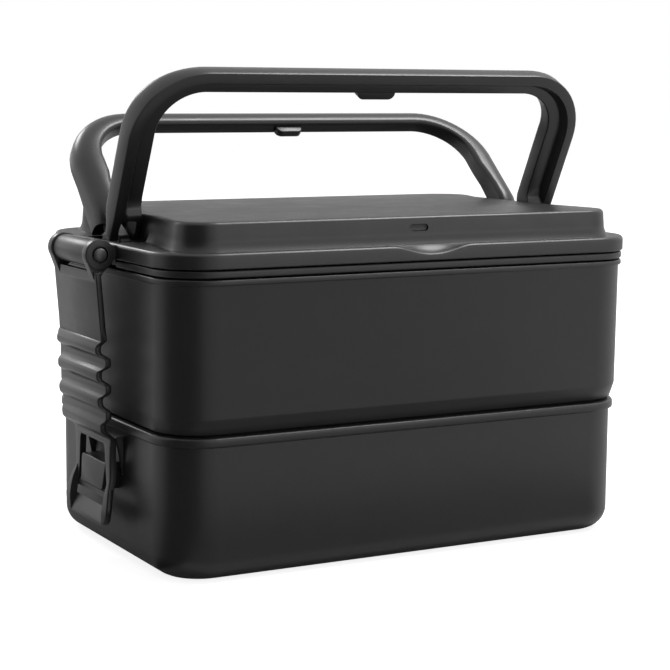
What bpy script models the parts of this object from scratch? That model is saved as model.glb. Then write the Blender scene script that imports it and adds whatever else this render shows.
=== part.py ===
"""Two-tier lunch box with two swing handles and two side latches.

Sizes are written in millimetres and turned into metres once, in new_object.
X is the length, -Y the front, +Z up, and the origin is the middle of the underside.
"""

import math

import bmesh
import bpy
from mathutils import Vector

MILLIMETRE = 0.001
CLEARANCE = 0.3

# Lower tray, outside face.
BODY_HALF_X = 95.0
BODY_HALF_Y = 58.0
BODY_CORNER = 18.0
BODY_FOOT_FILLET = 8.4
WALL = 2.0
FLOOR = 2.2
BEAD_OUT = 1.4
BEAD_HEIGHT = 4.4
LOWER_TOP = 51.3

# Upper tray: flare is how far its wall stands outside the lower one, in X and in Y.
TIER_GAP = 0.4
UPPER_HEIGHT = 53.15
CHAMFER_HEIGHT = 5.3
UPPER_FLARE_LOW = (0.9, 2.0)
UPPER_FLARE_HIGH = (1.2, 2.4)
LIP_INSET = 0.4
LIP_HEIGHT = 1.95
NEST_DEPTH = 8.2

# Seals: rings of this width and height, seated in grooves.
SEAL_WIDTH = 1.7
SEAL_HEIGHT = 2.1

# Inner lid.
BAND_GAP = 0.5
BAND_HEIGHT = 2.5
INNER_LID_PANEL = 1.8
INNER_LID_DIP = 2.55
PLUG_DEPTH = 5.75
PLUG_WALL = 2.6

# Outer lid: the rim stands outside the body, and the dome inside the rim, by these insets.
RIM_OUTSET_X = 2.0
RIM_OUTSET_Y = 4.4
RIM_CORNER_GROWTH = 1.5
RIM_HEIGHT = 5.45
RIM_WALL = 2.3
RIM_ROUND = 1.5
DOME_INSET_X = 8.5
DOME_INSET_Y = 6.4
DOME_CORNER = 12.0
DOME_BACK_CORNER = 18.0
DOME_RISE = 9.9
DOME_CROWN = 0.8
DOME_ROUND = 1.6
DOME_WALL = 1.9
DOME_TAPER = 0.3
WAIST_RELIEF = 0.3
WAIST_FLAT_FRONT = 8.0
WAIST_FLAT_BACK = 28.0
WAIST_END = 52.0

# Finger scallop in the front of the rim, and the blind vent mark in the dome's front wall.
SCALLOP_X = 4.3
SCALLOP_WIDTH = 29.0
SCALLOP_DEPTH = 2.8
SCALLOP_PAD = 1.9
VENT_X = 1.4
VENT_DROP = 4.15
VENT_WIDTH = 7.8
VENT_HEIGHT = 2.5
VENT_DEPTH = 0.8

# Swing handles: both turn on one line, parallel to X, a pin at each end.
HANDLE_Y = 2.0
HANDLE_DROP = 1.8
HANDLE_SIDE_PLAY = 0.4
LEG_WIDTH = 11.2
BAR_HEIGHT = 9.2
ROOT_DEPTH = 7.0
PERIMETER_BAND = 4.0
BAND_EDGE = 0.5
BAND_SLOPE = 1.6
WEB_RECESS = 3.4
WEB_START = 13.0
WEB_RAMP = 2.5
INNER_ROUND = 2.0
EDGE_EASE = 0.6
NUB_DEPTH = 3.0
NUB_SLOPE = 1.4
FRONT_LEAN = 26.7
FRONT_REACH = 69.7
FRONT_OFFSET = -1.0
FRONT_ROOT_END = 4.0
FRONT_FULL_FROM = 13.0
FRONT_CORNER = 26.7
FRONT_INNER_CORNER = 16.8
FRONT_DEPTH = 10.6
FRONT_BAR_DEPTH = 10.4
FRONT_LEG_ROUND = 3.0
FRONT_BAR_ROUND = 7.0
FRONT_NUB_X = 2.4
FRONT_NUB_WIDTH = 15.6
REAR_LEAN = 48.7
REAR_REACH = 72.2
REAR_OFFSET = 4.8
REAR_ROOT_END = 8.0
REAR_FULL_FROM = 20.0
REAR_ROOT_FLARE = 2.6
REAR_FLARE_FROM = 14.0
REAR_FLARE_END = 40.0
REAR_INSET = 1.8
REAR_WIDENING = 1.5
REAR_WIDEN_FROM = 27.0
REAR_WIDEN_TO = 38.0
REAR_CORNER = 29.0
REAR_INNER_CORNER = 17.0
REAR_DEPTH = 10.4
REAR_BAR_DEPTH = 9.2
REAR_LEG_ROUND = 6.5
REAR_BAR_ROUND = 6.4
REAR_NUB_X = 4.0
REAR_NUB_WIDTH = 11.6

# Handle feet: fork of the front handle, tongue of the rear one, and their pins.
HUB_RADIUS = 3.9
EAR_OUTER = 2.9
EAR_INNER = 2.1
TONGUE = 3.8
TONGUE_TOP = 16.0
REAR_LEG_BOTTOM = 10.5
NOTCH_UP = 4.3
NOTCH_OUT = 9.3
NOTCH_RADIUS = 11.1
ARCH_TOP = 10.9
ARCH_SLANT = 1.2
PIN_RADIUS = 1.5
PIN_SKIN = 0.8

# Wells in the lid's ends, where the handle feet turn.
WELL_FRONT = 13.0
WELL_BACK = 17.0
WELL_FLOOR = 1.2
WELL_WALL = 1.5
HUB_CLEARANCE = 0.8

# Latches: hinge line parallel to Y. "Out" is measured from the tray's end, "drop" from the hinge line.
LATCH_AXIS_OUT = 9.7
LATCH_AXIS_DROP = 3.2
RING_RADIUS = 5.4
RING_INNER_Y = 15.0
RING_WIDTH = 4.0
BARREL_RADIUS = 4.8
NECK_HALF_HEIGHT = 2.6
LATCH_THICKNESS = 2.2
LATCH_HALF_WIDTH = 20.8
LATCH_EDGE = 1.4
PLATE_TOP_OUT = 12.2
PLATE_TOP_DROP = 6.0
PLATE_BOTTOM_OUT = 10.3
PLATE_BOTTOM_DROP = 29.0
CREST_OUT = (12.0, 11.7, 11.35, 10.3)
CREST_FIRST_DROP = 32.4
CREST_PITCH = 9.4
VALLEY_OUT = 7.2
FRAME_OUT = 6.0
FRAME_ABOVE_WINDOW = 4.0
FRAME_HALF_WIDTH = 16.8
WINDOW_BOTTOM = 25.0
WINDOW_HEIGHT = 17.0
WINDOW_HALF_TOP = 12.0
WINDOW_HALF_BOTTOM = 13.8
TAB_OUT = 2.9
TAB_SHOULDER_DROP = 4.0
TAB_CREASE_DROP = 5.8
TAB_HEIGHT = 12.3
TAB_TIP = 1.9
PIN_HEAD_RADIUS = 2.5
PIN_HEAD_DEPTH = 1.2
PIN_HEAD_DOME = 0.8

# Catch blocks on the lower tray, which the latch windows close over.
CATCH_HEIGHT = 10.1
CATCH_HALF_TOP = 11.3
CATCH_HALF_BOTTOM = 9.9
CATCH_OUT_TOP = 5.6
CATCH_OUT_BOTTOM = 6.6
GUARD_RIB_Y = 21.5
GUARD_RIB_WIDTH = 2.0
GUARD_RIB_OUT = 3.0

CORNER_STEPS = 9
END_STEPS = 16
LEG_STEPS = 14
BEND_STEPS = 12
CREST_STEPS = 8
WEB_LEAST = 0.015

# Heights that follow from the sizes above.
BEAD_BOTTOM = LOWER_TOP - BEAD_HEIGHT
UPPER_BOTTOM = LOWER_TOP + TIER_GAP
CHAMFER_TOP = UPPER_BOTTOM + CHAMFER_HEIGHT
LIP_TOP = UPPER_BOTTOM + UPPER_HEIGHT
LIP_BOTTOM = LIP_TOP - LIP_HEIGHT
BAND_BOTTOM = LIP_TOP + BAND_GAP
BAND_TOP = BAND_BOTTOM + BAND_HEIGHT
RIM_BOTTOM = BAND_TOP + BAND_GAP
RIM_TOP = RIM_BOTTOM + RIM_HEIGHT
DOME_EDGE_Z = RIM_TOP + DOME_RISE
VENT_Z = DOME_EDGE_Z - VENT_DROP
HANDLE_Z = RIM_TOP - HANDLE_DROP
WELL_TOP_Z = HANDLE_Z - HUB_RADIUS - HUB_CLEARANCE
LATCH_AXIS_Z = RIM_TOP - LATCH_AXIS_DROP
WINDOW_TOP = WINDOW_BOTTOM + WINDOW_HEIGHT
FRAME_TOP = WINDOW_TOP + FRAME_ABOVE_WINDOW
CATCH_TOP = WINDOW_BOTTOM + CLEARANCE + CATCH_HEIGHT
TAB_BOTTOM = WINDOW_BOTTOM - TAB_HEIGHT

# Widths that follow from the sizes above.
LIP_FLARE = (RIM_OUTSET_X - LIP_INSET, RIM_OUTSET_Y - LIP_INSET)
RIM_HALF_X = BODY_HALF_X + RIM_OUTSET_X
RIM_HALF_Y = BODY_HALF_Y + RIM_OUTSET_Y
RIM_CORNER = BODY_CORNER + RIM_CORNER_GROWTH
DOME_HALF_X = RIM_HALF_X - DOME_INSET_X
DOME_HALF_Y = RIM_HALF_Y - DOME_INSET_Y
WELL_OUT_X = RIM_HALF_X - RIM_WALL
HANDLE_HALF_SPAN = WELL_OUT_X - HANDLE_SIDE_PLAY
WELL_IN_X = HANDLE_HALF_SPAN - LEG_WIDTH - CLEARANCE
WAIST = DOME_HALF_X - WELL_IN_X + WAIST_RELIEF
TONGUE_OUT_X = HANDLE_HALF_SPAN - EAR_OUTER - ARCH_SLANT - CLEARANCE
LATCH_AXIS_X = BODY_HALF_X + LATCH_AXIS_OUT
RING_OUTER_Y = RING_INNER_Y + RING_WIDTH
FRAME_X = BODY_HALF_X + FRAME_OUT


def clear_scene():
    """Remove every object of the scene."""
    for item in list(bpy.data.objects):
        bpy.data.objects.remove(item, do_unlink=True)


def make_material(name, colour, roughness, metallic=0.0):
    """Return a Principled material."""
    material = bpy.data.materials.new(name)
    material.use_nodes = True
    shader = material.node_tree.nodes["Principled BSDF"]
    shader.inputs["Base Color"].default_value = (*colour, 1.0)
    shader.inputs["Roughness"].default_value = roughness
    shader.inputs["Metallic"].default_value = metallic
    return material


def new_object(name, points, faces, origin=(0.0, 0.0, 0.0)):
    """Return an object made from points in millimetres, with its own origin."""
    centre = Vector(origin)
    mesh = bpy.data.meshes.new(name)
    mesh.from_pydata([(Vector(point) - centre) * MILLIMETRE for point in points], [], faces)
    shape = bmesh.new()
    shape.from_mesh(mesh)
    bmesh.ops.recalc_face_normals(shape, faces=shape.faces)
    shape.to_mesh(mesh)
    shape.free()
    item = bpy.data.objects.new(name, mesh)
    item.location = centre * MILLIMETRE
    bpy.context.scene.collection.objects.link(item)
    return item


def loft(name, rings, origin=(0.0, 0.0, 0.0), closed=False):
    """Return a skin over rings of equal length, capped at both ends or joined end to end."""
    count = len(rings[0])
    points = [point for ring in rings for point in ring]
    faces = []
    pairs = len(rings) if closed else len(rings) - 1
    for row in range(pairs):
        near = row * count
        far = ((row + 1) % len(rings)) * count
        for k in range(count):
            after = (k + 1) % count
            faces.append((near + k, near + after, far + after, far + k))
    if not closed:
        faces.append(tuple(range(count)))
        faces.append(tuple(range(len(points) - count, len(points))))
    return new_object(name, points, faces, origin)


def cylinder(name, start, end, radius, steps=32):
    """Return a closed cylinder between two points."""
    axis = (Vector(end) - Vector(start)).normalized()
    across = axis.orthogonal().normalized()
    beside = axis.cross(across)
    rings = []
    for centre in (Vector(start), Vector(end)):
        turns = [2 * math.pi * k / steps for k in range(steps)]
        rings.append([centre + radius * (math.cos(a) * across + math.sin(a) * beside) for a in turns])
    return loft(name, rings)


def prism(name, outline, place, near, far):
    """Return an outline extruded from near to far; place turns (a, b, depth) into a point."""
    return loft(name, [[place(a, b, depth) for a, b in outline] for depth in (near, far)])


def box(name, x_range, y_range, z_range):
    """Return a closed box."""
    outline = [(x_range[0], y_range[0]), (x_range[1], y_range[0]), (x_range[1], y_range[1]), (x_range[0], y_range[1])]
    return prism(name, outline, lambda a, b, depth: (a, b, depth), *z_range)


def combine(target, tool, operation):
    """Apply one exact Boolean to the target and remove the tool."""
    modifier = target.modifiers.new("combine", "BOOLEAN")
    modifier.operation = operation
    modifier.solver = "EXACT"
    modifier.object = tool
    bpy.context.view_layer.update()
    solved = bpy.data.meshes.new_from_object(target.evaluated_get(bpy.context.evaluated_depsgraph_get()))
    target.modifiers.clear()
    target.data = solved
    bpy.data.objects.remove(tool, do_unlink=True)
    return target


def cut(target, tool):
    """Take the tool's volume out of the target."""
    return combine(target, tool, "DIFFERENCE")


def join(target, tool):
    """Add the tool's volume to the target."""
    return combine(target, tool, "UNION")


def finish(item, material, angle=35.0):
    """Give a piece its material and shade its gentle edges smooth."""
    item.data.name = item.name
    item.data.materials.clear()
    item.data.materials.append(material)
    item.data.shade_smooth()
    item.data.set_sharp_from_angle(angle=math.radians(angle))
    return item


def smoothstep(low, high, value):
    """Return 0 below low, 1 above high and a smooth ramp between."""
    ramp = min(max((value - low) / (high - low), 0.0), 1.0)
    return ramp * ramp * (3 - 2 * ramp)


def rounded_rectangle(half_x, half_y, corner, z, back_corner=None):
    """Return a level rounded rectangle; its back corners may have their own radius."""
    radii = {-1: corner, 1: corner if back_corner is None else back_corner}
    points = []
    for sign_x, sign_y, start in ((1, 1, 0), (-1, 1, 90), (-1, -1, 180), (1, -1, 270)):
        radius = radii[sign_y]
        for k in range(CORNER_STEPS + 1):
            angle = math.radians(start + 90 * k / CORNER_STEPS)
            x = sign_x * (half_x - radius) + radius * math.cos(angle)
            y = sign_y * (half_y - radius) + radius * math.sin(angle)
            points.append((x, y, z))
        if start in (90, 270):
            y_from = sign_y * (half_y - radius)
            y_to = -sign_y * (half_y - radii[-sign_y])
            for k in range(1, END_STEPS):
                points.append((sign_x * half_x, y_from + (y_to - y_from) * k / END_STEPS, z))
    return points


def body_ring(flare, offset, z):
    """Return a tray outline that stands flare outside the lower tray, then offset from that."""
    corner = BODY_CORNER + (flare[0] + flare[1]) / 4 + offset
    return rounded_rectangle(BODY_HALF_X + flare[0] + offset, BODY_HALF_Y + flare[1] + offset, corner, z)


def fillet(radius, steps=5):
    """Yield (inset, rise) along a quarter round from a floor up to a wall."""
    for k in range(steps + 1):
        angle = math.radians(90 * k / steps)
        yield radius * (1 - math.sin(angle)), radius * (1 - math.cos(angle))


def make_lower_tray(material):
    """Lower tier: a tray with a beaded rim, a catch block and two guard ribs at each end."""
    level = (0.0, 0.0)
    rings = [body_ring(level, -inset, rise) for inset, rise in fillet(BODY_FOOT_FILLET)]
    bead_height = LOWER_TOP - BEAD_BOTTOM
    for out, share in ((0.0, -0.1), (0.6, 0.0), (1.0, 0.12), (1.0, 0.72), (0.75, 0.88), (0.2, 1.0)):
        rings.append(body_ring(level, BEAD_OUT * out, BEAD_BOTTOM + bead_height * share))
    rings.append(body_ring(level, -WALL + 0.3, LOWER_TOP))
    rings.append(body_ring(level, -WALL, LOWER_TOP - 0.3))
    inner_fillet = BODY_FOOT_FILLET - WALL
    for inset, rise in reversed(list(fillet(inner_fillet))):
        rings.append(body_ring(level, -WALL - inset, FLOOR + rise))
    tray = loft("lower_tray", rings)
    for side in (-1, 1):
        join(tray, make_catch(side))
        for end in (-1, 1):
            middle = end * GUARD_RIB_Y
            x_range = sorted((side * (BODY_HALF_X - WALL / 2), side * (BODY_HALF_X + GUARD_RIB_OUT)))
            y_range = (middle - GUARD_RIB_WIDTH / 2, middle + GUARD_RIB_WIDTH / 2)
            join(tray, box("rib", x_range, y_range, (WINDOW_BOTTOM, BEAD_BOTTOM - 2.0)))
    return finish(tray, material)


def make_catch(side):
    """Wedge block that fills the latch window and holds the latch under its lower face."""
    bottom = WINDOW_BOTTOM + CLEARANCE
    root = BODY_HALF_X - WALL / 2
    levels = ((CATCH_OUT_BOTTOM, CATCH_HALF_BOTTOM, bottom), (CATCH_OUT_TOP, CATCH_HALF_TOP, CATCH_TOP))
    rings = []
    for reach, half, z in levels:
        ease = EDGE_EASE
        out = BODY_HALF_X + reach
        outline = [(root, -half), (out - ease, -half), (out, -half + ease)]
        outline += [(out, half - ease), (out - ease, half), (root, half)]
        rings.append([(side * x, y, z) for x, y in outline])
    return loft("catch", rings)


def make_upper_tray(material):
    """Upper tier: its foot nests in the lower tray, its lip carries the inner lid."""
    level = (0.0, 0.0)
    nest = -WALL - CLEARANCE - SEAL_WIDTH + 0.6
    groove = -WALL - 2 * CLEARANCE - SEAL_WIDTH
    seal_floor = UPPER_BOTTOM - SEAL_HEIGHT - 2 * CLEARANCE
    bottom = UPPER_BOTTOM - NEST_DEPTH
    foot = 3.0
    rings = [body_ring(level, nest - inset, bottom + rise) for inset, rise in fillet(foot, 3)]
    rings.append(body_ring(level, nest, seal_floor))
    rings.append(body_ring(level, groove, seal_floor))
    rings.append(body_ring(level, groove, UPPER_BOTTOM))
    rings.append(body_ring(level, -CLEARANCE, UPPER_BOTTOM))
    rings.append(body_ring(UPPER_FLARE_LOW, 0.0, CHAMFER_TOP))
    rings.append(body_ring(UPPER_FLARE_HIGH, 0.0, LIP_BOTTOM - 0.2))
    rings.append(body_ring(LIP_FLARE, -0.3, LIP_BOTTOM))
    rings.append(body_ring(LIP_FLARE, 0.0, LIP_BOTTOM + 0.4))
    rings.append(body_ring(LIP_FLARE, 0.0, LIP_TOP - 0.5))
    rings.append(body_ring(LIP_FLARE, -0.5, LIP_TOP))
    rings.append(body_ring(UPPER_FLARE_HIGH, -WALL + 0.3, LIP_TOP))
    rings.append(body_ring(UPPER_FLARE_HIGH, -WALL, LIP_TOP - 0.3))
    rings.append(body_ring(UPPER_FLARE_LOW, -WALL, CHAMFER_TOP + WALL / 2))
    rings.append(body_ring(level, groove - WALL, UPPER_BOTTOM + WALL / 2))
    for inset, rise in reversed(list(fillet(foot, 3))):
        rings.append(body_ring(level, groove - WALL - inset, bottom + FLOOR + rise))
    return finish(loft("upper_tray", rings), material)


def make_tier_seal(material):
    """Ring in the upper tray's foot groove that closes against the lower tray's wall."""
    outer = -WALL - CLEARANCE
    top = UPPER_BOTTOM - CLEARANCE
    return make_seal("tier_seal", (0.0, 0.0), outer, top, material)


def make_inner_lid_seal(material):
    """Ring round the inner lid's plug that closes against the upper tray's wall."""
    outer = -WALL - CLEARANCE
    top = BAND_BOTTOM - CLEARANCE
    return make_seal("inner_lid_seal", UPPER_FLARE_HIGH, outer, top, material)


def make_seal(name, flare, outer, top, material):
    """Rectangular ring with eased edges."""
    ease = 0.35
    inner = outer - SEAL_WIDTH
    bottom = top - SEAL_HEIGHT
    section = [(outer - ease, bottom), (outer, bottom + ease), (outer, top - ease), (outer - ease, top)]
    section += [(inner + ease, top), (inner, top - ease), (inner, bottom + ease), (inner + ease, bottom)]
    rings = [body_ring(flare, offset, z) for offset, z in section]
    return finish(loft(name, rings, closed=True), material)


def make_inner_lid(material):
    """Flat lid of the upper tray: band that shows, plug below it, notches for the lid's wells."""
    flare = UPPER_FLARE_HIGH
    groove = -WALL - 2 * CLEARANCE - SEAL_WIDTH
    plug = groove + 1.1
    plug_inner = plug - PLUG_WALL
    seal_floor = BAND_BOTTOM - SEAL_HEIGHT - 2 * CLEARANCE
    plug_bottom = BAND_BOTTOM - PLUG_DEPTH
    panel_top = BAND_TOP - INNER_LID_DIP
    ease = 0.4
    rings = [
        body_ring(flare, plug_inner, panel_top - INNER_LID_PANEL),
        body_ring(flare, plug_inner, plug_bottom),
        body_ring(flare, plug - ease, plug_bottom),
        body_ring(flare, plug, plug_bottom + ease),
        body_ring(flare, plug, seal_floor),
        body_ring(flare, groove, seal_floor),
        body_ring(flare, groove, BAND_BOTTOM),
        body_ring(LIP_FLARE, -ease, BAND_BOTTOM),
        body_ring(LIP_FLARE, 0.0, BAND_BOTTOM + ease),
        body_ring(LIP_FLARE, 0.0, BAND_TOP - ease),
        body_ring(LIP_FLARE, -ease, BAND_TOP),
        body_ring(flare, plug_inner, BAND_TOP),
        body_ring(flare, plug_inner - ease, panel_top),
    ]
    lid = loft("inner_lid", rings)
    wall = WELL_WALL + CLEARANCE
    inner_x = WELL_IN_X - wall
    for side in (-1, 1):
        x_range = sorted((side * inner_x, side * (RIM_HALF_X + 2)))
        y_range = (HANDLE_Y - WELL_FRONT - wall, HANDLE_Y + WELL_BACK + wall)
        cut(lid, box("notch", x_range, y_range, (panel_top - 0.2, BAND_TOP + 1)))
    return finish(lid, material)


def make_outer_lid(material):
    """Domed lid: rim, dome with drawn-in ends, handle wells, latch barrels, scallop and vent."""
    lid = loft("outer_lid", dome_outside() + dome_inside())
    for side in (-1, 1):
        add_well(lid, side)
        add_barrel(lid, side)
        hole_end = side * (RIM_HALF_X - PIN_SKIN)
        hole_start = side * (WELL_IN_X - DOME_WALL - 3)
        bore = cylinder("bore", (hole_start, HANDLE_Y, HANDLE_Z), (hole_end, HANDLE_Y, HANDLE_Z), PIN_RADIUS + CLEARANCE)
        cut(lid, bore)
    pad_half = SCALLOP_WIDTH / 2 + DOME_WALL
    pad_y = (-RIM_HALF_Y + RIM_WALL / 2, -DOME_HALF_Y + DOME_WALL / 2)
    pad_z = (RIM_TOP - DOME_WALL - SCALLOP_PAD, RIM_TOP - DOME_WALL / 2)
    join(lid, box("pad", (SCALLOP_X - pad_half, SCALLOP_X + pad_half), pad_y, pad_z))
    cut(lid, scallop_cutter())
    cut(lid, vent_cutter())
    return finish(lid, material)


def dome_ring(offset, z, shrink=1.0):
    """Return an outline of the dome, its ends drawn in where the handles pass, then shrunk."""
    half_x = DOME_HALF_X + offset
    ring = rounded_rectangle(half_x, DOME_HALF_Y + offset, DOME_CORNER + offset, z, DOME_BACK_CORNER + offset)
    shaped = []
    for x, y, _ in ring:
        flat = WAIST_FLAT_BACK if y > 0 else WAIST_FLAT_FRONT
        drawn = WAIST * (1 - smoothstep(flat, WAIST_END, abs(y)))
        on_end = abs(x) > DOME_HALF_X - DOME_BACK_CORNER
        shaped.append(((x - math.copysign(drawn, x) if on_end else x) * shrink, y * shrink, z))
    return shaped


def rim_ring(offset, z):
    """Return an outline of the rim, offset outwards."""
    return rounded_rectangle(RIM_HALF_X + offset, RIM_HALF_Y + offset, RIM_CORNER + offset, z)


def dome_outside():
    """Return the lid's outer rings, from the middle of the crown to the foot of the rim."""
    rings = []
    for shrink in (0.12, 0.4, 0.65, 0.85):
        rings.append(dome_ring(-DOME_ROUND, DOME_EDGE_Z + DOME_CROWN * (1 - shrink ** 2), shrink))
    for inset, rise in reversed(list(fillet(DOME_ROUND, 4))):
        rings.append(dome_ring(inset - DOME_ROUND, DOME_EDGE_Z - DOME_ROUND + rise))
    foot_round = 0.8
    rings.append(dome_ring(DOME_TAPER, RIM_TOP + foot_round))
    rings.append(dome_ring(DOME_TAPER + foot_round, RIM_TOP))
    for k in range(5):
        angle = math.radians(90 * k / 4)
        inset = RIM_ROUND * (1 - math.sin(angle))
        rings.append(rim_ring(-inset, RIM_TOP - RIM_ROUND * (1 - math.cos(angle))))
    rings.append(rim_ring(0.0, RIM_BOTTOM + 0.3))
    rings.append(rim_ring(-0.3, RIM_BOTTOM))
    return rings


def dome_inside():
    """Return the lid's inner rings, from the foot of the rim up to the middle of the ceiling."""
    rings = [rim_ring(-RIM_WALL, RIM_BOTTOM), rim_ring(-RIM_WALL, RIM_TOP - DOME_WALL)]
    rings.append(dome_ring(-DOME_WALL, RIM_TOP - DOME_WALL))
    rings.append(dome_ring(-DOME_WALL, DOME_EDGE_Z - DOME_WALL - 0.8))
    rings.append(dome_ring(-DOME_WALL - 0.8, DOME_EDGE_Z - DOME_WALL))
    rings.append(dome_ring(-DOME_WALL - 0.8, DOME_EDGE_Z - DOME_WALL + DOME_CROWN * 0.7, 0.5))
    return rings


def add_well(lid, side):
    """Hang a walled well in one end of the lid and open it to the top."""
    outer_x = BODY_HALF_X + LIP_FLARE[0]
    x_walls = sorted((side * (WELL_IN_X - WELL_WALL), side * outer_x))
    y_walls = (HANDLE_Y - WELL_FRONT - WELL_WALL, HANDLE_Y + WELL_BACK + WELL_WALL)
    join(lid, box("well", x_walls, y_walls, (WELL_TOP_Z - WELL_FLOOR, RIM_TOP - 0.8)))
    x_range = sorted((side * WELL_IN_X, side * WELL_OUT_X))
    y_range = (HANDLE_Y - WELL_FRONT, HANDLE_Y + WELL_BACK)
    cut(lid, box("well_space", x_range, y_range, (WELL_TOP_Z, DOME_EDGE_Z + 4)))


def add_barrel(lid, side):
    """Add the middle knuckle of one latch hinge, on a neck, with its pin hole."""
    half = RING_INNER_Y - CLEARANCE
    axis_x = side * LATCH_AXIS_X
    barrel = cylinder("barrel", (axis_x, -half, LATCH_AXIS_Z), (axis_x, half, LATCH_AXIS_Z), BARREL_RADIUS)
    neck_x = sorted((side * (RIM_HALF_X - 1), axis_x))
    neck_z = (LATCH_AXIS_Z - NECK_HALF_HEIGHT + 0.4, LATCH_AXIS_Z + NECK_HALF_HEIGHT)
    join(barrel, box("neck", neck_x, (-half, half), neck_z))
    join(lid, barrel)
    bore = cylinder("bore", (axis_x, -half - 1, LATCH_AXIS_Z), (axis_x, half + 1, LATCH_AXIS_Z), PIN_RADIUS + CLEARANCE)
    cut(lid, bore)


def scallop_cutter():
    """Return the smooth dip cut from the front rim for a fingertip."""
    half = SCALLOP_WIDTH / 2
    outline = []
    for k in range(25):
        along = -1 + 2 * k / 24
        dip = SCALLOP_DEPTH * (1 - smoothstep(0.0, 1.0, abs(along)))
        outline.append((SCALLOP_X + half * along, RIM_TOP + 0.02 - dip))
    outline += [(SCALLOP_X + half + 1, RIM_TOP + 1.5), (SCALLOP_X - half - 1, RIM_TOP + 1.5)]
    front = -RIM_HALF_Y - 1
    back = -DOME_HALF_Y - DOME_TAPER - 1.1
    return prism("scallop", outline, lambda a, b, depth: (a, depth, b), front, back)


def vent_cutter():
    """Return the shallow pill-shaped mark in the dome's front wall."""
    radius = VENT_HEIGHT / 2
    outline = []
    for side in (1, -1):
        for k in range(9):
            angle = math.radians(-90 + 180 * k / 8)
            x = VENT_X + side * (VENT_WIDTH / 2 - radius + radius * math.cos(angle))
            outline.append((x, VENT_Z + side * radius * math.sin(angle)))
    face = -DOME_HALF_Y - DOME_TAPER
    return prism("vent", outline, lambda a, b, depth: (a, depth, b), face - 1, face + DOME_TAPER + VENT_DEPTH)


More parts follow.
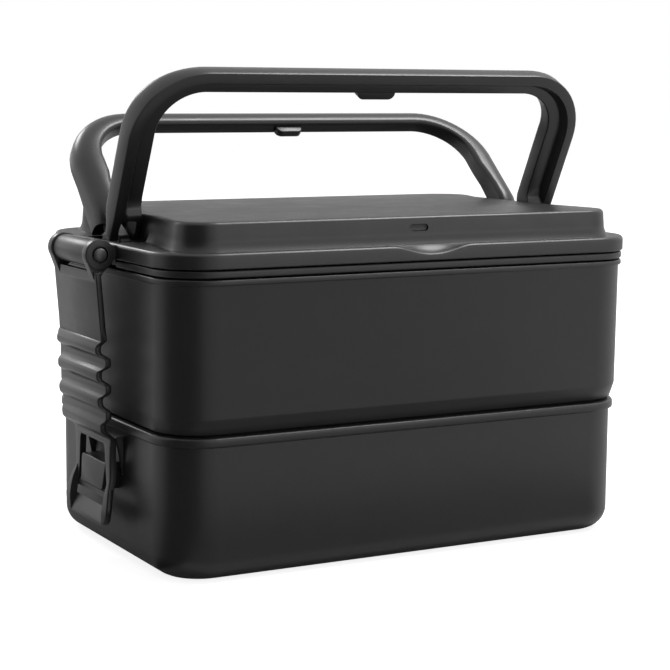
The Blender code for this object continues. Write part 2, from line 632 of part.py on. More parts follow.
class Handle:
    """One swing handle: its lean, its reach from the pins, and its section along the way."""

    def __init__(self, name, toward, lean, reach, half_span, offset):
        """Keep the placing sizes; toward is -1 for the front handle and 1 for the rear one."""
        self.name = name
        self.up = Vector((0.0, toward * math.sin(math.radians(lean)), math.cos(math.radians(lean))))
        self.out = Vector((0.0, toward * math.cos(math.radians(lean)), -math.sin(math.radians(lean))))
        self.reach = reach
        self.half_span = half_span
        self.face = ROOT_DEPTH / 2 + offset
        self.origin = Vector((0.0, HANDLE_Y, HANDLE_Z))
        self.foot_width = LEG_WIDTH - (HANDLE_HALF_SPAN - half_span)
        self.widening = 0.0

    def set_widening(self, widening, start, end):
        """Widen the leg inwards between two heights above the pins."""
        self.widening = widening
        self.widen_from = start
        self.widen_to = end

    def set_corner(self, outer, inner):
        """Keep the radii of the outer and the inner corner between leg and bar."""
        self.corner = outer
        self.inner_corner = inner

    def set_root(self, start, end, flare=0.0, flare_start=0.0, flare_end=1.0):
        """Keep where the leg grows to full depth, and how far its foot flares outwards."""
        self.root_end = start
        self.full_from = end
        self.flare = flare
        self.flare_range = (flare_start, flare_end)

    def set_section(self, depth, bar_depth, leg_round, bar_round):
        """Keep the depths and the inward roundings of the leg and of the bar."""
        self.depth = depth
        self.bar_depth = bar_depth
        self.leg_round = leg_round
        self.bar_round = bar_round

    def place(self, u, v, w):
        """Turn handle sizes (along X, up the leg, outwards) into a point."""
        return self.origin + Vector((u, 0.0, 0.0)) + self.up * v + self.out * w

    def leg_width(self, height):
        """Return the leg's width at a height above the pins."""
        if not self.widening:
            return self.foot_width
        return self.foot_width + self.widening * smoothstep(self.widen_from, self.widen_to, height)

    def stations(self, bottom):
        """Yield (outer point, inner point, share of bar) from one foot round to the other."""
        path = []
        knee = self.reach - self.corner
        left = -self.half_span
        for k in range(LEG_STEPS + 1):
            height = bottom + (knee - bottom) * k / LEG_STEPS
            path.append(((left, height), (left + self.leg_width(height), height), 0.0))
        inner_left = left + self.leg_width(knee)
        inner_knee = self.reach - BAR_HEIGHT - self.inner_corner
        for k in range(1, BEND_STEPS + 1):
            angle = math.radians(90 * k / BEND_STEPS)
            away = 1 - math.cos(angle)
            rise = math.sin(angle)
            outer = (left + self.corner * away, knee + self.corner * rise)
            inner = (inner_left + self.inner_corner * away, inner_knee + self.inner_corner * rise)
            path.append((outer, inner, k / BEND_STEPS))
        path.append(((0.0, self.reach), (0.0, self.reach - BAR_HEIGHT), 1.0))
        mirrored = [((-o[0], o[1]), (-i[0], i[1]), share) for o, i, share in reversed(path[:-1])]
        return path + mirrored

    def section(self, outer, inner, share):
        """Return one section: smooth inward side, perimeter band and recessed web outward."""
        across = Vector((inner[0] - outer[0], inner[1] - outer[1]))
        width = across.length
        across.normalize()
        height = outer[1]
        grown = smoothstep(self.root_end, self.full_from, height)
        depth = ROOT_DEPTH + (self.depth - ROOT_DEPTH) * grown + (self.bar_depth - self.depth) * share
        back = self.face - depth
        face = self.face + self.flare * (1 - smoothstep(*self.flare_range, height))
        recess = WEB_RECESS * max(smoothstep(WEB_START, WEB_START + WEB_RAMP, height), WEB_LEAST)
        corner = self.leg_round + (self.bar_round - self.leg_round) * smoothstep(0.3, 1.0, share)
        band = PERIMETER_BAND
        points = [(EDGE_EASE, face), (band, face), (band + BAND_EDGE, face - recess * 0.4)]
        points += [(band + BAND_SLOPE, face - recess), (width - EDGE_EASE, face - recess)]
        points.append((width, face - recess - EDGE_EASE))
        for inset, rise in reversed(list(fillet(INNER_ROUND, 3))):
            points.append((width - inset, back + rise))
        for inset, rise in fillet(corner, 5):
            points.append((inset, back + rise))
        points.append((0.0, face - EDGE_EASE))
        return [self.place(outer[0] + across.x * n, outer[1] + across.y * n, w) for n, w in points]

    def build(self, bottom, nub_x, nub_width):
        """Return the swept handle with its grip nub, without feet."""
        rings = [self.section(*station) for station in self.stations(bottom)]
        handle = loft(self.name, rings, self.origin)
        edge = self.reach - BAR_HEIGHT
        low = edge - NUB_DEPTH
        half = nub_width / 2
        shoulder = edge + INNER_ROUND / 8
        top = edge + INNER_ROUND * 0.8
        outline = [(-half, top), (-half, shoulder), (-half + NUB_SLOPE, low)]
        outline += [(half - NUB_SLOPE, low), (half, shoulder), (half, top)]
        outline = [(nub_x + u, v) for u, v in outline]
        near = self.face - self.bar_depth + INNER_ROUND * 1.1
        far = self.face - WEB_RECESS - CLEARANCE
        return join(handle, prism("nub", outline, self.place, near, far))

    def x_cylinder(self, x_range, radius):
        """Return a cylinder on the hinge line."""
        start = self.place(x_range[0], 0.0, 0.0)
        end = self.place(x_range[1], 0.0, 0.0)
        return cylinder("hub", start, end, radius)


def make_handle_front(material):
    """Front handle: each foot is a fork of two ears round the hinge line."""
    shape = Handle("handle_front", -1, FRONT_LEAN, FRONT_REACH, HANDLE_HALF_SPAN, FRONT_OFFSET)
    shape.set_corner(FRONT_CORNER, FRONT_INNER_CORNER)
    shape.set_root(FRONT_ROOT_END, FRONT_FULL_FROM)
    shape.set_section(FRONT_DEPTH, FRONT_BAR_DEPTH, FRONT_LEG_ROUND, FRONT_BAR_ROUND)
    handle = shape.build(0.0, FRONT_NUB_X, FRONT_NUB_WIDTH)
    reach = HUB_RADIUS + FRONT_DEPTH
    for side in (-1, 1):
        x_range = sorted((side * HANDLE_HALF_SPAN, side * (HANDLE_HALF_SPAN - LEG_WIDTH)))
        join(handle, shape.x_cylinder(x_range, HUB_RADIUS))
        outer = HANDLE_HALF_SPAN - EAR_OUTER
        inner = HANDLE_HALF_SPAN - LEG_WIDTH + EAR_INNER
        low = -HUB_RADIUS - 1
        outline = [(outer, low), (outer, ARCH_TOP * 0.7), (outer - ARCH_SLANT / 3, ARCH_TOP * 0.93)]
        outline += [(outer - ARCH_SLANT, ARCH_TOP), (inner + CLEARANCE, ARCH_TOP), (inner, ARCH_TOP * 0.97), (inner, low)]
        outline = [(side * u, v) for u, v in outline]
        cut(handle, prism("arch", outline, shape.place, -reach, reach))
        cut(handle, shape.x_cylinder((x_range[0] - 1, x_range[1] + 1), PIN_RADIUS + CLEARANCE))
    return finish(handle, material)


def make_handle_rear(material):
    """Rear handle: each foot is one tongue that turns inside the front handle's fork."""
    shape = Handle("handle_rear", 1, REAR_LEAN, REAR_REACH, HANDLE_HALF_SPAN - REAR_INSET, REAR_OFFSET)
    shape.set_widening(REAR_WIDENING, REAR_WIDEN_FROM, REAR_WIDEN_TO)
    shape.set_corner(REAR_CORNER, REAR_INNER_CORNER)
    shape.set_root(REAR_ROOT_END, REAR_FULL_FROM, REAR_ROOT_FLARE, REAR_FLARE_FROM, REAR_FLARE_END)
    shape.set_section(REAR_DEPTH, REAR_BAR_DEPTH, REAR_LEG_ROUND, REAR_BAR_ROUND)
    handle = shape.build(REAR_LEG_BOTTOM, REAR_NUB_X, REAR_NUB_WIDTH)
    reach = HANDLE_HALF_SPAN + CLEARANCE
    ends = [shape.place(side * reach, NOTCH_UP, NOTCH_OUT) for side in (-1, 1)]
    cut(handle, cylinder("notch", ends[0], ends[1], NOTCH_RADIUS, 64))
    for side in (-1, 1):
        x_range = sorted((side * TONGUE_OUT_X, side * (TONGUE_OUT_X - TONGUE)))
        near = shape.face - ROOT_DEPTH - EDGE_EASE * 2
        far = near + ROOT_DEPTH * 0.8
        flank = HUB_RADIUS * 0.96
        outline = [(-flank, 0.0), (near, TONGUE_TOP), (far, TONGUE_TOP), (flank, 0.0)]
        tongue = prism("tongue", outline, lambda w, v, u: shape.place(u, v, w), *x_range)
        join(tongue, shape.x_cylinder(x_range, HUB_RADIUS))
        join(handle, tongue)
        cut(handle, shape.x_cylinder((x_range[0] - 1, x_range[1] + 1), PIN_RADIUS + CLEARANCE))
    return finish(handle, material)


def make_handle_pin(name, side, material):
    """Steel pin through the dome's end wall, both handles' feet and into the rim."""
    start = side * (WELL_IN_X - DOME_WALL + CLEARANCE)
    end = side * (RIM_HALF_X - PIN_SKIN - CLEARANCE)
    pin = cylinder(name, (start, HANDLE_Y, HANDLE_Z), (end, HANDLE_Y, HANDLE_Z), PIN_RADIUS)
    return finish(pin, material)


def latch_midline():
    """Return the middle line of the latch strip, from the plate top down to the window frame."""
    half = LATCH_THICKNESS / 2
    surface = []
    for k in range(5):
        share = k / 4
        out = PLATE_TOP_OUT + (PLATE_BOTTOM_OUT - PLATE_TOP_OUT) * share
        drop = PLATE_TOP_DROP + (PLATE_BOTTOM_DROP - PLATE_TOP_DROP) * share
        surface.append((out, LATCH_AXIS_Z - drop))
    last = len(CREST_OUT) - 1
    frame_z = FRAME_TOP - FRAME_ABOVE_WINDOW
    for index, crest in enumerate(CREST_OUT):
        crest_z = LATCH_AXIS_Z - CREST_FIRST_DROP - CREST_PITCH * index
        surface.append((crest - 0.4, crest_z + CREST_PITCH / 8))
        surface.append((crest, crest_z))
        for k in range(1, CREST_STEPS):
            share = k / CREST_STEPS
            if index == last:
                out = crest + (FRAME_OUT - crest) * smoothstep(0.0, 0.75, share)
                surface.append((out, crest_z + (frame_z - crest_z) * share))
            else:
                dip = (1 - math.cos(2 * math.pi * share)) / 2
                straight = crest + (CREST_OUT[index + 1] - crest) * share
                surface.append((straight + (VALLEY_OUT - straight) * dip, crest_z - CREST_PITCH * share))
    surface.append((FRAME_OUT, frame_z - CREST_PITCH / 16))
    return [(BODY_HALF_X + out - half, z) for out, z in surface]


def strip_ring(line, half, side, y):
    """Return the outline of a strip of the given half thickness round a line, at one y."""
    outer = []
    inner = []
    for k, point in enumerate(line):
        before = line[max(k - 1, 0)]
        after = line[min(k + 1, len(line) - 1)]
        run = Vector((after[0] - before[0], after[1] - before[1])).normalized()
        normal = Vector((-run.y, run.x))
        outer.append((point[0] + normal.x * half, point[1] + normal.y * half))
        inner.append((point[0] - normal.x * half, point[1] - normal.y * half))
    return [(side * x, y, z) for x, z in outer + inner[::-1]]


def make_latch(name, side, material):
    """Swinging latch: two hinge rings, ribbed grip, window frame and finger tab."""
    line = latch_midline()
    half = LATCH_THICKNESS / 2
    rings = []
    for inset, share in ((0.0, 0.45), (LATCH_EDGE * 0.35, 0.8), (LATCH_EDGE, 1.0)):
        rings.append(strip_ring(line, half * share, side, inset - LATCH_HALF_WIDTH))
    for ring in reversed(list(rings)):
        rings.append([(x, -y, z) for x, y, z in ring])
    origin = (side * LATCH_AXIS_X, 0.0, LATCH_AXIS_Z)
    latch = loft(name, rings, origin)
    join(latch, make_latch_frame(side))
    for end in (-1, 1):
        add_latch_ring(latch, side, end)
    return finish(latch, material)


def add_latch_ring(latch, side, end):
    """Add one hinge ring with its arm, and its pin hole."""
    y_range = sorted((end * RING_INNER_Y, end * RING_OUTER_Y))
    axis = (side * LATCH_AXIS_X, LATCH_AXIS_Z)
    ring = cylinder("ring", (axis[0], y_range[0], axis[1]), (axis[0], y_range[1], axis[1]), RING_RADIUS, 40)
    low = LATCH_AXIS_Z - PLATE_TOP_DROP - LATCH_THICKNESS * 1.4
    plate_out = BODY_HALF_X + PLATE_TOP_OUT - CLEARANCE
    plate_in = plate_out - LATCH_THICKNESS
    outline = [(LATCH_AXIS_X + RING_RADIUS * 0.97, LATCH_AXIS_Z - RING_RADIUS * 0.2)]
    outline.append((LATCH_AXIS_X - RING_RADIUS * 0.62, LATCH_AXIS_Z - RING_RADIUS * 0.76))
    outline.append((plate_in - LATCH_THICKNESS / 2, LATCH_AXIS_Z - RING_RADIUS * 1.15))
    outline += [(plate_in, LATCH_AXIS_Z - RING_RADIUS * 1.5), (plate_in + CLEARANCE, low), (plate_out, low)]
    outline = [(side * x, z) for x, z in outline]
    join(ring, prism("arm", outline, lambda a, b, depth: (a, depth, b), *y_range))
    join(latch, ring)
    reach = RING_OUTER_Y + 1
    hole = cylinder("hole", (axis[0], 0, axis[1]), (axis[0], end * reach, axis[1]), PIN_RADIUS + CLEARANCE)
    cut(latch, hole)
    if end < 0:
        depth = RING_OUTER_Y - PIN_HEAD_DEPTH - CLEARANCE
        seat = cylinder("seat", (axis[0], -depth, axis[1]), (axis[0], -reach, axis[1]), PIN_HEAD_RADIUS + CLEARANCE)
        cut(latch, seat)


def make_latch_frame(side):
    """Frame round the window, and the flared tab below it."""
    thick = LATCH_THICKNESS
    rail = FRAME_HALF_WIDTH
    tip = thick / 5
    sections = (
        (0.0, thick, LATCH_HALF_WIDTH - LATCH_EDGE, FRAME_TOP - FRAME_ABOVE_WINDOW / 2),
        (0.0, thick, rail + LATCH_EDGE / 2, WINDOW_TOP + CLEARANCE),
        (0.0, thick, rail, WINDOW_TOP - thick * 2),
        (0.0, thick, rail, WINDOW_BOTTOM + thick * 1.4),
        (tip, thick, rail + LATCH_EDGE, WINDOW_BOTTOM - tip),
        (TAB_OUT - tip, thick + tip / 2, LATCH_HALF_WIDTH, WINDOW_BOTTOM - TAB_SHOULDER_DROP),
        (TAB_OUT, thick + tip / 2, LATCH_HALF_WIDTH, WINDOW_BOTTOM - TAB_CREASE_DROP),
        (TAB_OUT / 2, thick, rail, TAB_BOTTOM + TAB_TIP),
        (tip, thick - TAB_TIP / 3, rail - TAB_TIP, TAB_BOTTOM),
    )
    rings = []
    ease = EDGE_EASE
    for out, back, half, z in sections:
        x_out = FRAME_X + out
        x_back = FRAME_X - back
        outline = [(x_back, -half), (x_out - ease, -half), (x_out, -half + ease)]
        outline += [(x_out, half - ease), (x_out - ease, half), (x_back, half)]
        rings.append([(side * x, y, z) for x, y in outline])
    frame = loft("frame", rings)
    top = WINDOW_HALF_TOP
    round_top = thick * 1.15
    outline = [(-top, WINDOW_TOP - round_top), (-top + round_top * 0.3, WINDOW_TOP - round_top * 0.3)]
    outline.append((-top + round_top, WINDOW_TOP))
    outline += [(-y, z) for y, z in reversed(outline)]
    outline += [(WINDOW_HALF_BOTTOM, WINDOW_BOTTOM), (-WINDOW_HALF_BOTTOM, WINDOW_BOTTOM)]
    x_range = sorted((side * (FRAME_X - thick * 3), side * (FRAME_X + thick * 3)))
    return cut(frame, prism("window", outline, lambda a, b, depth: (depth, a, b), *x_range))


def make_latch_pin(name, side, material):
    """Headed pin through one latch hinge, its domed head seated in the front ring."""
    x = side * LATCH_AXIS_X
    seat = -RING_OUTER_Y + PIN_HEAD_DEPTH
    front = -RING_OUTER_Y
    profile = [(PIN_RADIUS, RING_OUTER_Y - CLEARANCE), (PIN_RADIUS, seat), (PIN_HEAD_RADIUS, seat)]
    profile.append((PIN_HEAD_RADIUS, front))
    for share in (0.85, 0.6, 0.3):
        dome = PIN_HEAD_DOME * math.sqrt(1 - share ** 2)
        profile.append((PIN_HEAD_RADIUS * share, front - dome))
    rings = []
    for radius, y in profile:
        turns = [2 * math.pi * k / 32 for k in range(32)]
        rings.append([(x + radius * math.cos(a), y, LATCH_AXIS_Z + radius * math.sin(a)) for a in turns])
    return finish(loft(name, rings), material)


def main():
    """Build every piece of the lunch box."""
    clear_scene()
    charcoal = (0.062, 0.064, 0.068)
    make_lower_tray(make_material("lower_tray_plastic", charcoal, 0.55))
    make_tier_seal(make_material("tier_seal_silicone", (0.03, 0.03, 0.032), 0.7))
    make_upper_tray(make_material("upper_tray_plastic", charcoal, 0.55))
    make_inner_lid(make_material("inner_lid_plastic", (0.066, 0.068, 0.072), 0.5))
    make_inner_lid_seal(make_material("inner_lid_seal_silicone", (0.03, 0.03, 0.032), 0.7))
    make_outer_lid(make_material("outer_lid_plastic", charcoal, 0.5))
    make_handle_front(make_material("handle_front_plastic", (0.07, 0.071, 0.075), 0.45))
    make_handle_rear(make_material("handle_rear_plastic", (0.07, 0.071, 0.075), 0.45))
    for side, word in ((-1, "left"), (1, "right")):
        make_handle_pin("handle_pin_" + word, side, make_material(word + "_handle_steel", (0.55, 0.55, 0.56), 0.3, 1.0))
        make_latch("latch_" + word, side, make_material(word + "_latch_plastic", (0.075, 0.076, 0.08), 0.45))
        make_latch_pin("latch_pin_" + word, side, make_material(word + "_latch_steel", (0.12, 0.12, 0.125), 0.4, 0.6))


main()
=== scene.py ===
"""Two-tier lunch box: modelled shells, handles and latches, their finishes, and the studio.

Sizes are millimetres in the classes and become metres where a mesh is made.
X is the length, -Y the front and +Z up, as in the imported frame.
"""

from __future__ import annotations

import logging
import math
from collections.abc import Callable, Iterable
from dataclasses import dataclass
from enum import Enum

import bmesh
import bpy
from mathutils import Matrix, Vector


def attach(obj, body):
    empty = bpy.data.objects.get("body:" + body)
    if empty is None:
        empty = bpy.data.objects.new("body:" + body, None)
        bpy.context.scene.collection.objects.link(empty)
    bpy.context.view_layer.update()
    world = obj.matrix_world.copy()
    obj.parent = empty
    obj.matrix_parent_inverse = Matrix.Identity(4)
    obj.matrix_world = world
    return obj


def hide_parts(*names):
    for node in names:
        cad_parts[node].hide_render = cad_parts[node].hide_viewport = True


LOG = logging.getLogger("lunch_box")
MM = 0.001
MERGE_WITHIN = 0.000004
SEAM_WITHIN = 0.00001
LAMP_DISTANCE = 1.5
LAMP_AIM = (0.0, 0.0, 0.08)

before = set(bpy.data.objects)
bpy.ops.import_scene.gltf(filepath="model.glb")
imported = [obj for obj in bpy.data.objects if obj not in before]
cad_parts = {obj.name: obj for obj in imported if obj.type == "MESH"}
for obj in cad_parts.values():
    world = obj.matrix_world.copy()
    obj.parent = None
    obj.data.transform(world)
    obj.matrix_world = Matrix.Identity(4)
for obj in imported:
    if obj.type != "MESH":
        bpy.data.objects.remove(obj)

Pair = tuple[float, float]
Point = tuple[float, float, float]
End = tuple[Vector, Vector, Vector]
Test = Callable[[Vector, Vector], bool]

UPRIGHT: Pair = (0.0, 0.0)


class Part(Enum):
    """What an edit-mode selection picks."""

    VERTS = "VERT"
    EDGES = "EDGE"
    FACES = "FACE"


class Cut(Enum):
    """How one modelled solid is combined with another."""

    AWAY = "DIFFERENCE"
    ON = "UNION"


class Grain(Enum):
    """Surface of the tool that a plastic piece was moulded in."""

    SPARK = "spark-eroded"
    SATIN = "blasted"


def smoothstep(low: float, high: float, value: float) -> float:
    """Return 0 below low, 1 above high and a smooth ramp between."""
    ramp = min(max((value - low) / (high - low), 0.0), 1.0)
    return ramp * ramp * (3 - 2 * ramp)


class Solid:
    """One solid, modelled in edit mode with Blender's own operators."""

    def __init__(self, name: str) -> None:
        """Keep the name; a primitive or a trace starts the mesh.

        Args:
            name: The solid's name.
        """
        self.name = name
        self.item: bpy.types.Object | None = None
        self.half = (0.0, 0.0)

    def _begin(self) -> None:
        """Leave edit mode and deselect everything."""
        if bpy.context.object and bpy.context.object.mode == "EDIT":
            bpy.ops.object.mode_set(mode="OBJECT")
        bpy.ops.object.select_all(action="DESELECT")

    def _adopt(self) -> Solid:
        """Take the new primitive and open it in edit mode, all selected.

        Returns:
            This solid.
        """
        self.item = bpy.context.object
        self.item.name = self.name
        self.item.data.name = self.name
        bpy.ops.object.transform_apply(location=True, rotation=True, scale=True)
        self.edit()
        bpy.ops.mesh.select_all(action="SELECT")
        return self

    def cube(self, low: Point, high: Point) -> Solid:
        """Start from a block between two corners.

        Args:
            low: Its lowest corner, in millimetres.
            high: Its highest corner.

        Returns:
            The solid, in edit mode.
        """
        self._begin()
        middle = [(a + b) / 2 * MM for a, b in zip(low, high)]
        size = [(b - a) * MM for a, b in zip(low, high)]
        bpy.ops.mesh.primitive_cube_add(size=1.0, location=middle, scale=size)
        return self._adopt()

    def cylinder(self, start: Point, end: Point, radius: float, sides: int = 64) -> Solid:
        """Start from a cylinder between two points.

        Args:
            start: Middle of its first end, in millimetres.
            end: Middle of its other end.
            radius: Its radius.
            sides: How many faces go round it.

        Returns:
            The solid, in edit mode.
        """
        self._begin()
        run = Vector(end) - Vector(start)
        middle = (Vector(end) + Vector(start)) / 2 * MM
        turn = run.to_track_quat("Z", "Y").to_euler()
        bpy.ops.mesh.primitive_cylinder_add(
            vertices=sides,
            radius=radius * MM,
            depth=run.length * MM,
            location=middle,
            rotation=turn,
        )
        return self._adopt()

    def plane(self, half_x: float, half_y: float, z: float) -> Solid:
        """Start from a level rectangle centred on the box's middle.

        Args:
            half_x: Its half length, in millimetres.
            half_y: Its half width.
            z: Its height.

        Returns:
            The solid, in edit mode.
        """
        self._begin()
        bpy.ops.mesh.primitive_plane_add(size=1.0, location=(0.0, 0.0, z * MM))
        self._adopt()
        self.half = (half_x, half_y)
        self.resize((2 * half_x * MM, 2 * half_y * MM, 1.0), (0.0, 0.0, z))
        return self

    def trace(self, points: list[Point]) -> Solid:
        """Start from a flat outline, drawn point by point and filled.

        Args:
            points: The outline's corners in order, in millimetres.

        Returns:
            The solid, in edit mode, its one face selected.
        """
        self._begin()
        bpy.ops.mesh.primitive_plane_add(size=MM, location=[a * MM for a in points[0]])
        self._adopt()
        bpy.ops.mesh.merge(type="CENTER")
        bpy.ops.mesh.select_mode(type="VERT")
        bpy.ops.mesh.select_all(action="SELECT")
        for near, far in zip(points, points[1:]):
            step = [(b - a) * MM for a, b in zip(near, far)]
            bpy.ops.mesh.extrude_vertices_move(TRANSFORM_OT_translate={"value": step})
        bpy.ops.mesh.select_all(action="SELECT")
        bpy.ops.mesh.edge_face_add()
        return self

    def edit(self) -> None:
        """Open this solid alone in edit mode."""
        self._begin()
        self.item.select_set(True)
        bpy.context.view_layer.objects.active = self.item
        bpy.ops.object.mode_set(mode="EDIT")

    def leave(self) -> None:
        """Return to object mode with only this solid selected."""
        self.edit()
        bpy.ops.object.mode_set(mode="OBJECT")

    def pick(self, part: Part, test: Test) -> int:
        """Select the elements that pass a test of their place and direction.

        Args:
            part: Whether vertices, edges or faces are picked.
            test: Takes the place in millimetres, and the normal, or an edge's direction.

        Returns:
            How many were picked.
        """
        bpy.ops.mesh.select_mode(type=part.value)
        bpy.ops.mesh.select_all(action="DESELECT")
        shape = bmesh.from_edit_mesh(self.item.data)
        shape.normal_update()
        found = []
        if part is Part.VERTS:
            found = [v for v in shape.verts if test(v.co / MM, v.normal)]
        elif part is Part.EDGES:
            for edge in shape.edges:
                first, last = (v.co / MM for v in edge.verts)
                if test((first + last) / 2, (last - first).normalized()):
                    found.append(edge)
        else:
            found = [f for f in shape.faces if test(f.calc_center_median() / MM, f.normal)]
        for element in found:
            element.select_set(True)
        bmesh.update_edit_mesh(self.item.data)
        return len(found)

    def cap(self, z: float, upward: bool) -> None:
        """Select the level face at a height that faces up or down."""
        up = 1.0 if upward else -1.0
        self.pick(Part.FACES, lambda place, normal: normal.z * up > 0.9 and abs(place.z - z) < 0.01)

    def extrude(self, step: Point) -> None:
        """Extrude the selected faces by a step in millimetres."""
        value = [a * MM for a in step]
        bpy.ops.mesh.extrude_region_move(TRANSFORM_OT_translate={"value": value})

    def shift(self, step: Point) -> None:
        """Move the selection by a step in millimetres."""
        bpy.ops.transform.translate(value=[a * MM for a in step])

    def resize(self, factors: Point, centre: Point) -> None:
        """Scale the selection about a point in millimetres."""
        bpy.ops.transform.resize(value=factors, center_override=[a * MM for a in centre])

    def turn(self, degrees: float, axis: str, centre: Point) -> None:
        """Turn the selection right-handed about an axis.

        Args:
            degrees: How far it turns.
            axis: The axis' letter.
            centre: A point on the axis, in millimetres.
        """
        middle = [a * MM for a in centre]
        turn = -math.radians(degrees)
        bpy.ops.transform.rotate(value=turn, orient_axis=axis, center_override=middle)

    def bevel(self, width: float, segments: int = 3, corners: bool = False) -> None:
        """Round the selected edges, or the selected corners of a flat outline."""
        affect = "VERTICES" if corners else "EDGES"
        bpy.ops.mesh.bevel(offset=width * MM, segments=segments, affect=affect, clamp_overlap=False)

    def round_edges(self, test: Test, width: float, segments: int = 3) -> None:
        """Round the edges that pass a test."""
        self.pick(Part.EDGES, test)
        self.bevel(width, segments)

    def round_rims(self, test: Test, width: float, segments: int = 3) -> None:
        """Round the outline of the faces that pass a test.

        Args:
            test: Takes a face's place in millimetres and its normal.
            width: The rounding's width.
            segments: How many faces it gets.
        """
        self.pick(Part.FACES, test)
        bpy.ops.mesh.region_to_loop()
        self.bevel(width, segments)

    def ring_to(self, half_x: float, half_y: float, z_step: float) -> None:
        """Carry the selected cap to a new outline, inset evenly and then trimmed in X and Y.

        Args:
            half_x: The new outline's half length.
            half_y: The new outline's half width.
            z_step: How far the cap moves up.
        """
        inward = min(self.half[0] - half_x, self.half[1] - half_y)
        if inward > 1e-4:
            bpy.ops.mesh.inset(thickness=inward * MM, depth=0.0, use_even_offset=True)
        else:
            inward = 0.0
            self.extrude((0.0, 0.0, 0.0))
        if z_step:
            self.shift((0.0, 0.0, z_step))
        scale = (half_x / (self.half[0] - inward), half_y / (self.half[1] - inward), 1.0)
        if abs(scale[0] - 1) + abs(scale[1] - 1) > 1e-6:
            bpy.ops.transform.resize(value=scale, center_override=(0.0, 0.0, 0.0))
        self.half = (half_x, half_y)

    def rings(self, stops: list[Point], z: float) -> None:
        """Carry the selected cap through several outlines.

        Args:
            stops: Each outline's half length, half width and height.
            z: The cap's height so far.
        """
        for half_x, half_y, height in stops:
            self.ring_to(half_x, half_y, height - z)
            z = height

    def mirror(self, across_x: bool = True, across_y: bool = False) -> Solid:
        """Mirror the solid across the box's middle planes and merge the seams.

        Args:
            across_x: Whether the left half becomes the right half's mirror image.
            across_y: Whether the front and the back do.

        Returns:
            This solid, in edit mode.
        """
        self.leave()
        bpy.ops.object.modifier_add(type="MIRROR")
        change = self.item.modifiers[-1]
        change.use_axis = (across_x, across_y, False)
        change.merge_threshold = SEAM_WITHIN
        bpy.ops.object.modifier_apply(modifier=change.name)
        self.mend()
        return self

    def mend(self) -> None:
        """Merge doubled vertices and point every face outwards."""
        self.edit()
        bpy.ops.mesh.select_all(action="SELECT")
        bpy.ops.mesh.remove_doubles(threshold=MERGE_WITHIN)
        bpy.ops.mesh.normals_make_consistent(inside=False)

    def combine(self, tool: Solid, how: Cut) -> Solid:
        """Join another solid on, or cut it away, and remove it.

        Args:
            tool: The other solid.
            how: Whether it is joined on or cut away.

        Returns:
            This solid.
        """
        tool.mend()
        tool.leave()
        self.leave()
        bpy.ops.object.modifier_add(type="BOOLEAN")
        change = self.item.modifiers[-1]
        change.operation = how.value
        change.solver = "EXACT"
        change.object = tool.item
        bpy.ops.object.modifier_apply(modifier=change.name)
        bpy.data.objects.remove(tool.item, do_unlink=True)
        return self

    def tilt(self, degrees: float, place: Point) -> Solid:
        """Lean the solid about X, put its hinge line in place, and apply both.

        Args:
            degrees: How far its top leans to the front.
            place: Where its own middle goes, in millimetres.

        Returns:
            This solid.
        """
        self.leave()
        self.item.rotation_euler = (math.radians(degrees), 0.0, 0.0)
        self.item.location = [a * MM for a in place]
        bpy.ops.object.transform_apply(location=True, rotation=True, scale=True)
        return self

    def mirrored(self, name: str) -> Solid:
        """Return a copy for the box's other end, with its own mesh.

        Args:
            name: The copy's name.

        Returns:
            The copy.
        """
        self.leave()
        bpy.ops.object.duplicate(linked=False)
        twin = Solid(name)
        twin.item = bpy.context.object
        twin.item.name = name
        twin.item.data.name = name
        twin.item.scale = (-1.0, 1.0, 1.0)
        bpy.ops.object.transform_apply(location=True, rotation=True, scale=True)
        twin.mend()
        twin.leave()
        return twin

    def finish(self, material: bpy.types.Material, angle: float = 38.0) -> bpy.types.Object:
        """Shade the gentle edges smooth and give the solid its material.

        Args:
            material: The finish.
            angle: Edges sharper than this stay sharp.

        Returns:
            The finished object.
        """
        self.leave()
        bpy.ops.object.shade_smooth_by_angle(angle=math.radians(angle))
        self.item.data.materials.clear()
        self.item.data.materials.append(material)
        return self.item


class Socket:
    """A shader value that adds Math nodes when it is used in arithmetic."""

    def __init__(self, graph: Graph, source: object) -> None:
        """Keep the graph and the output socket."""
        self.graph = graph
        self.source = source

    def _math(self, operation: str, first: object, second: object) -> Socket:
        """Return the output of one Math node."""
        return self.graph.node("ShaderNodeMath", {"operation": operation}, {0: first, 1: second})

    def __add__(self, other: object) -> Socket:
        """Add."""
        return self._math("ADD", self, other)

    def __radd__(self, other: object) -> Socket:
        """Add, reflected."""
        return self._math("ADD", other, self)

    def __sub__(self, other: object) -> Socket:
        """Subtract."""
        return self._math("SUBTRACT", self, other)

    def __rsub__(self, other: object) -> Socket:
        """Subtract, reflected."""
        return self._math("SUBTRACT", other, self)

    def __mul__(self, other: object) -> Socket:
        """Multiply."""
        return self._math("MULTIPLY", self, other)

    def __rmul__(self, other: object) -> Socket:
        """Multiply, reflected."""
        return self._math("MULTIPLY", other, self)


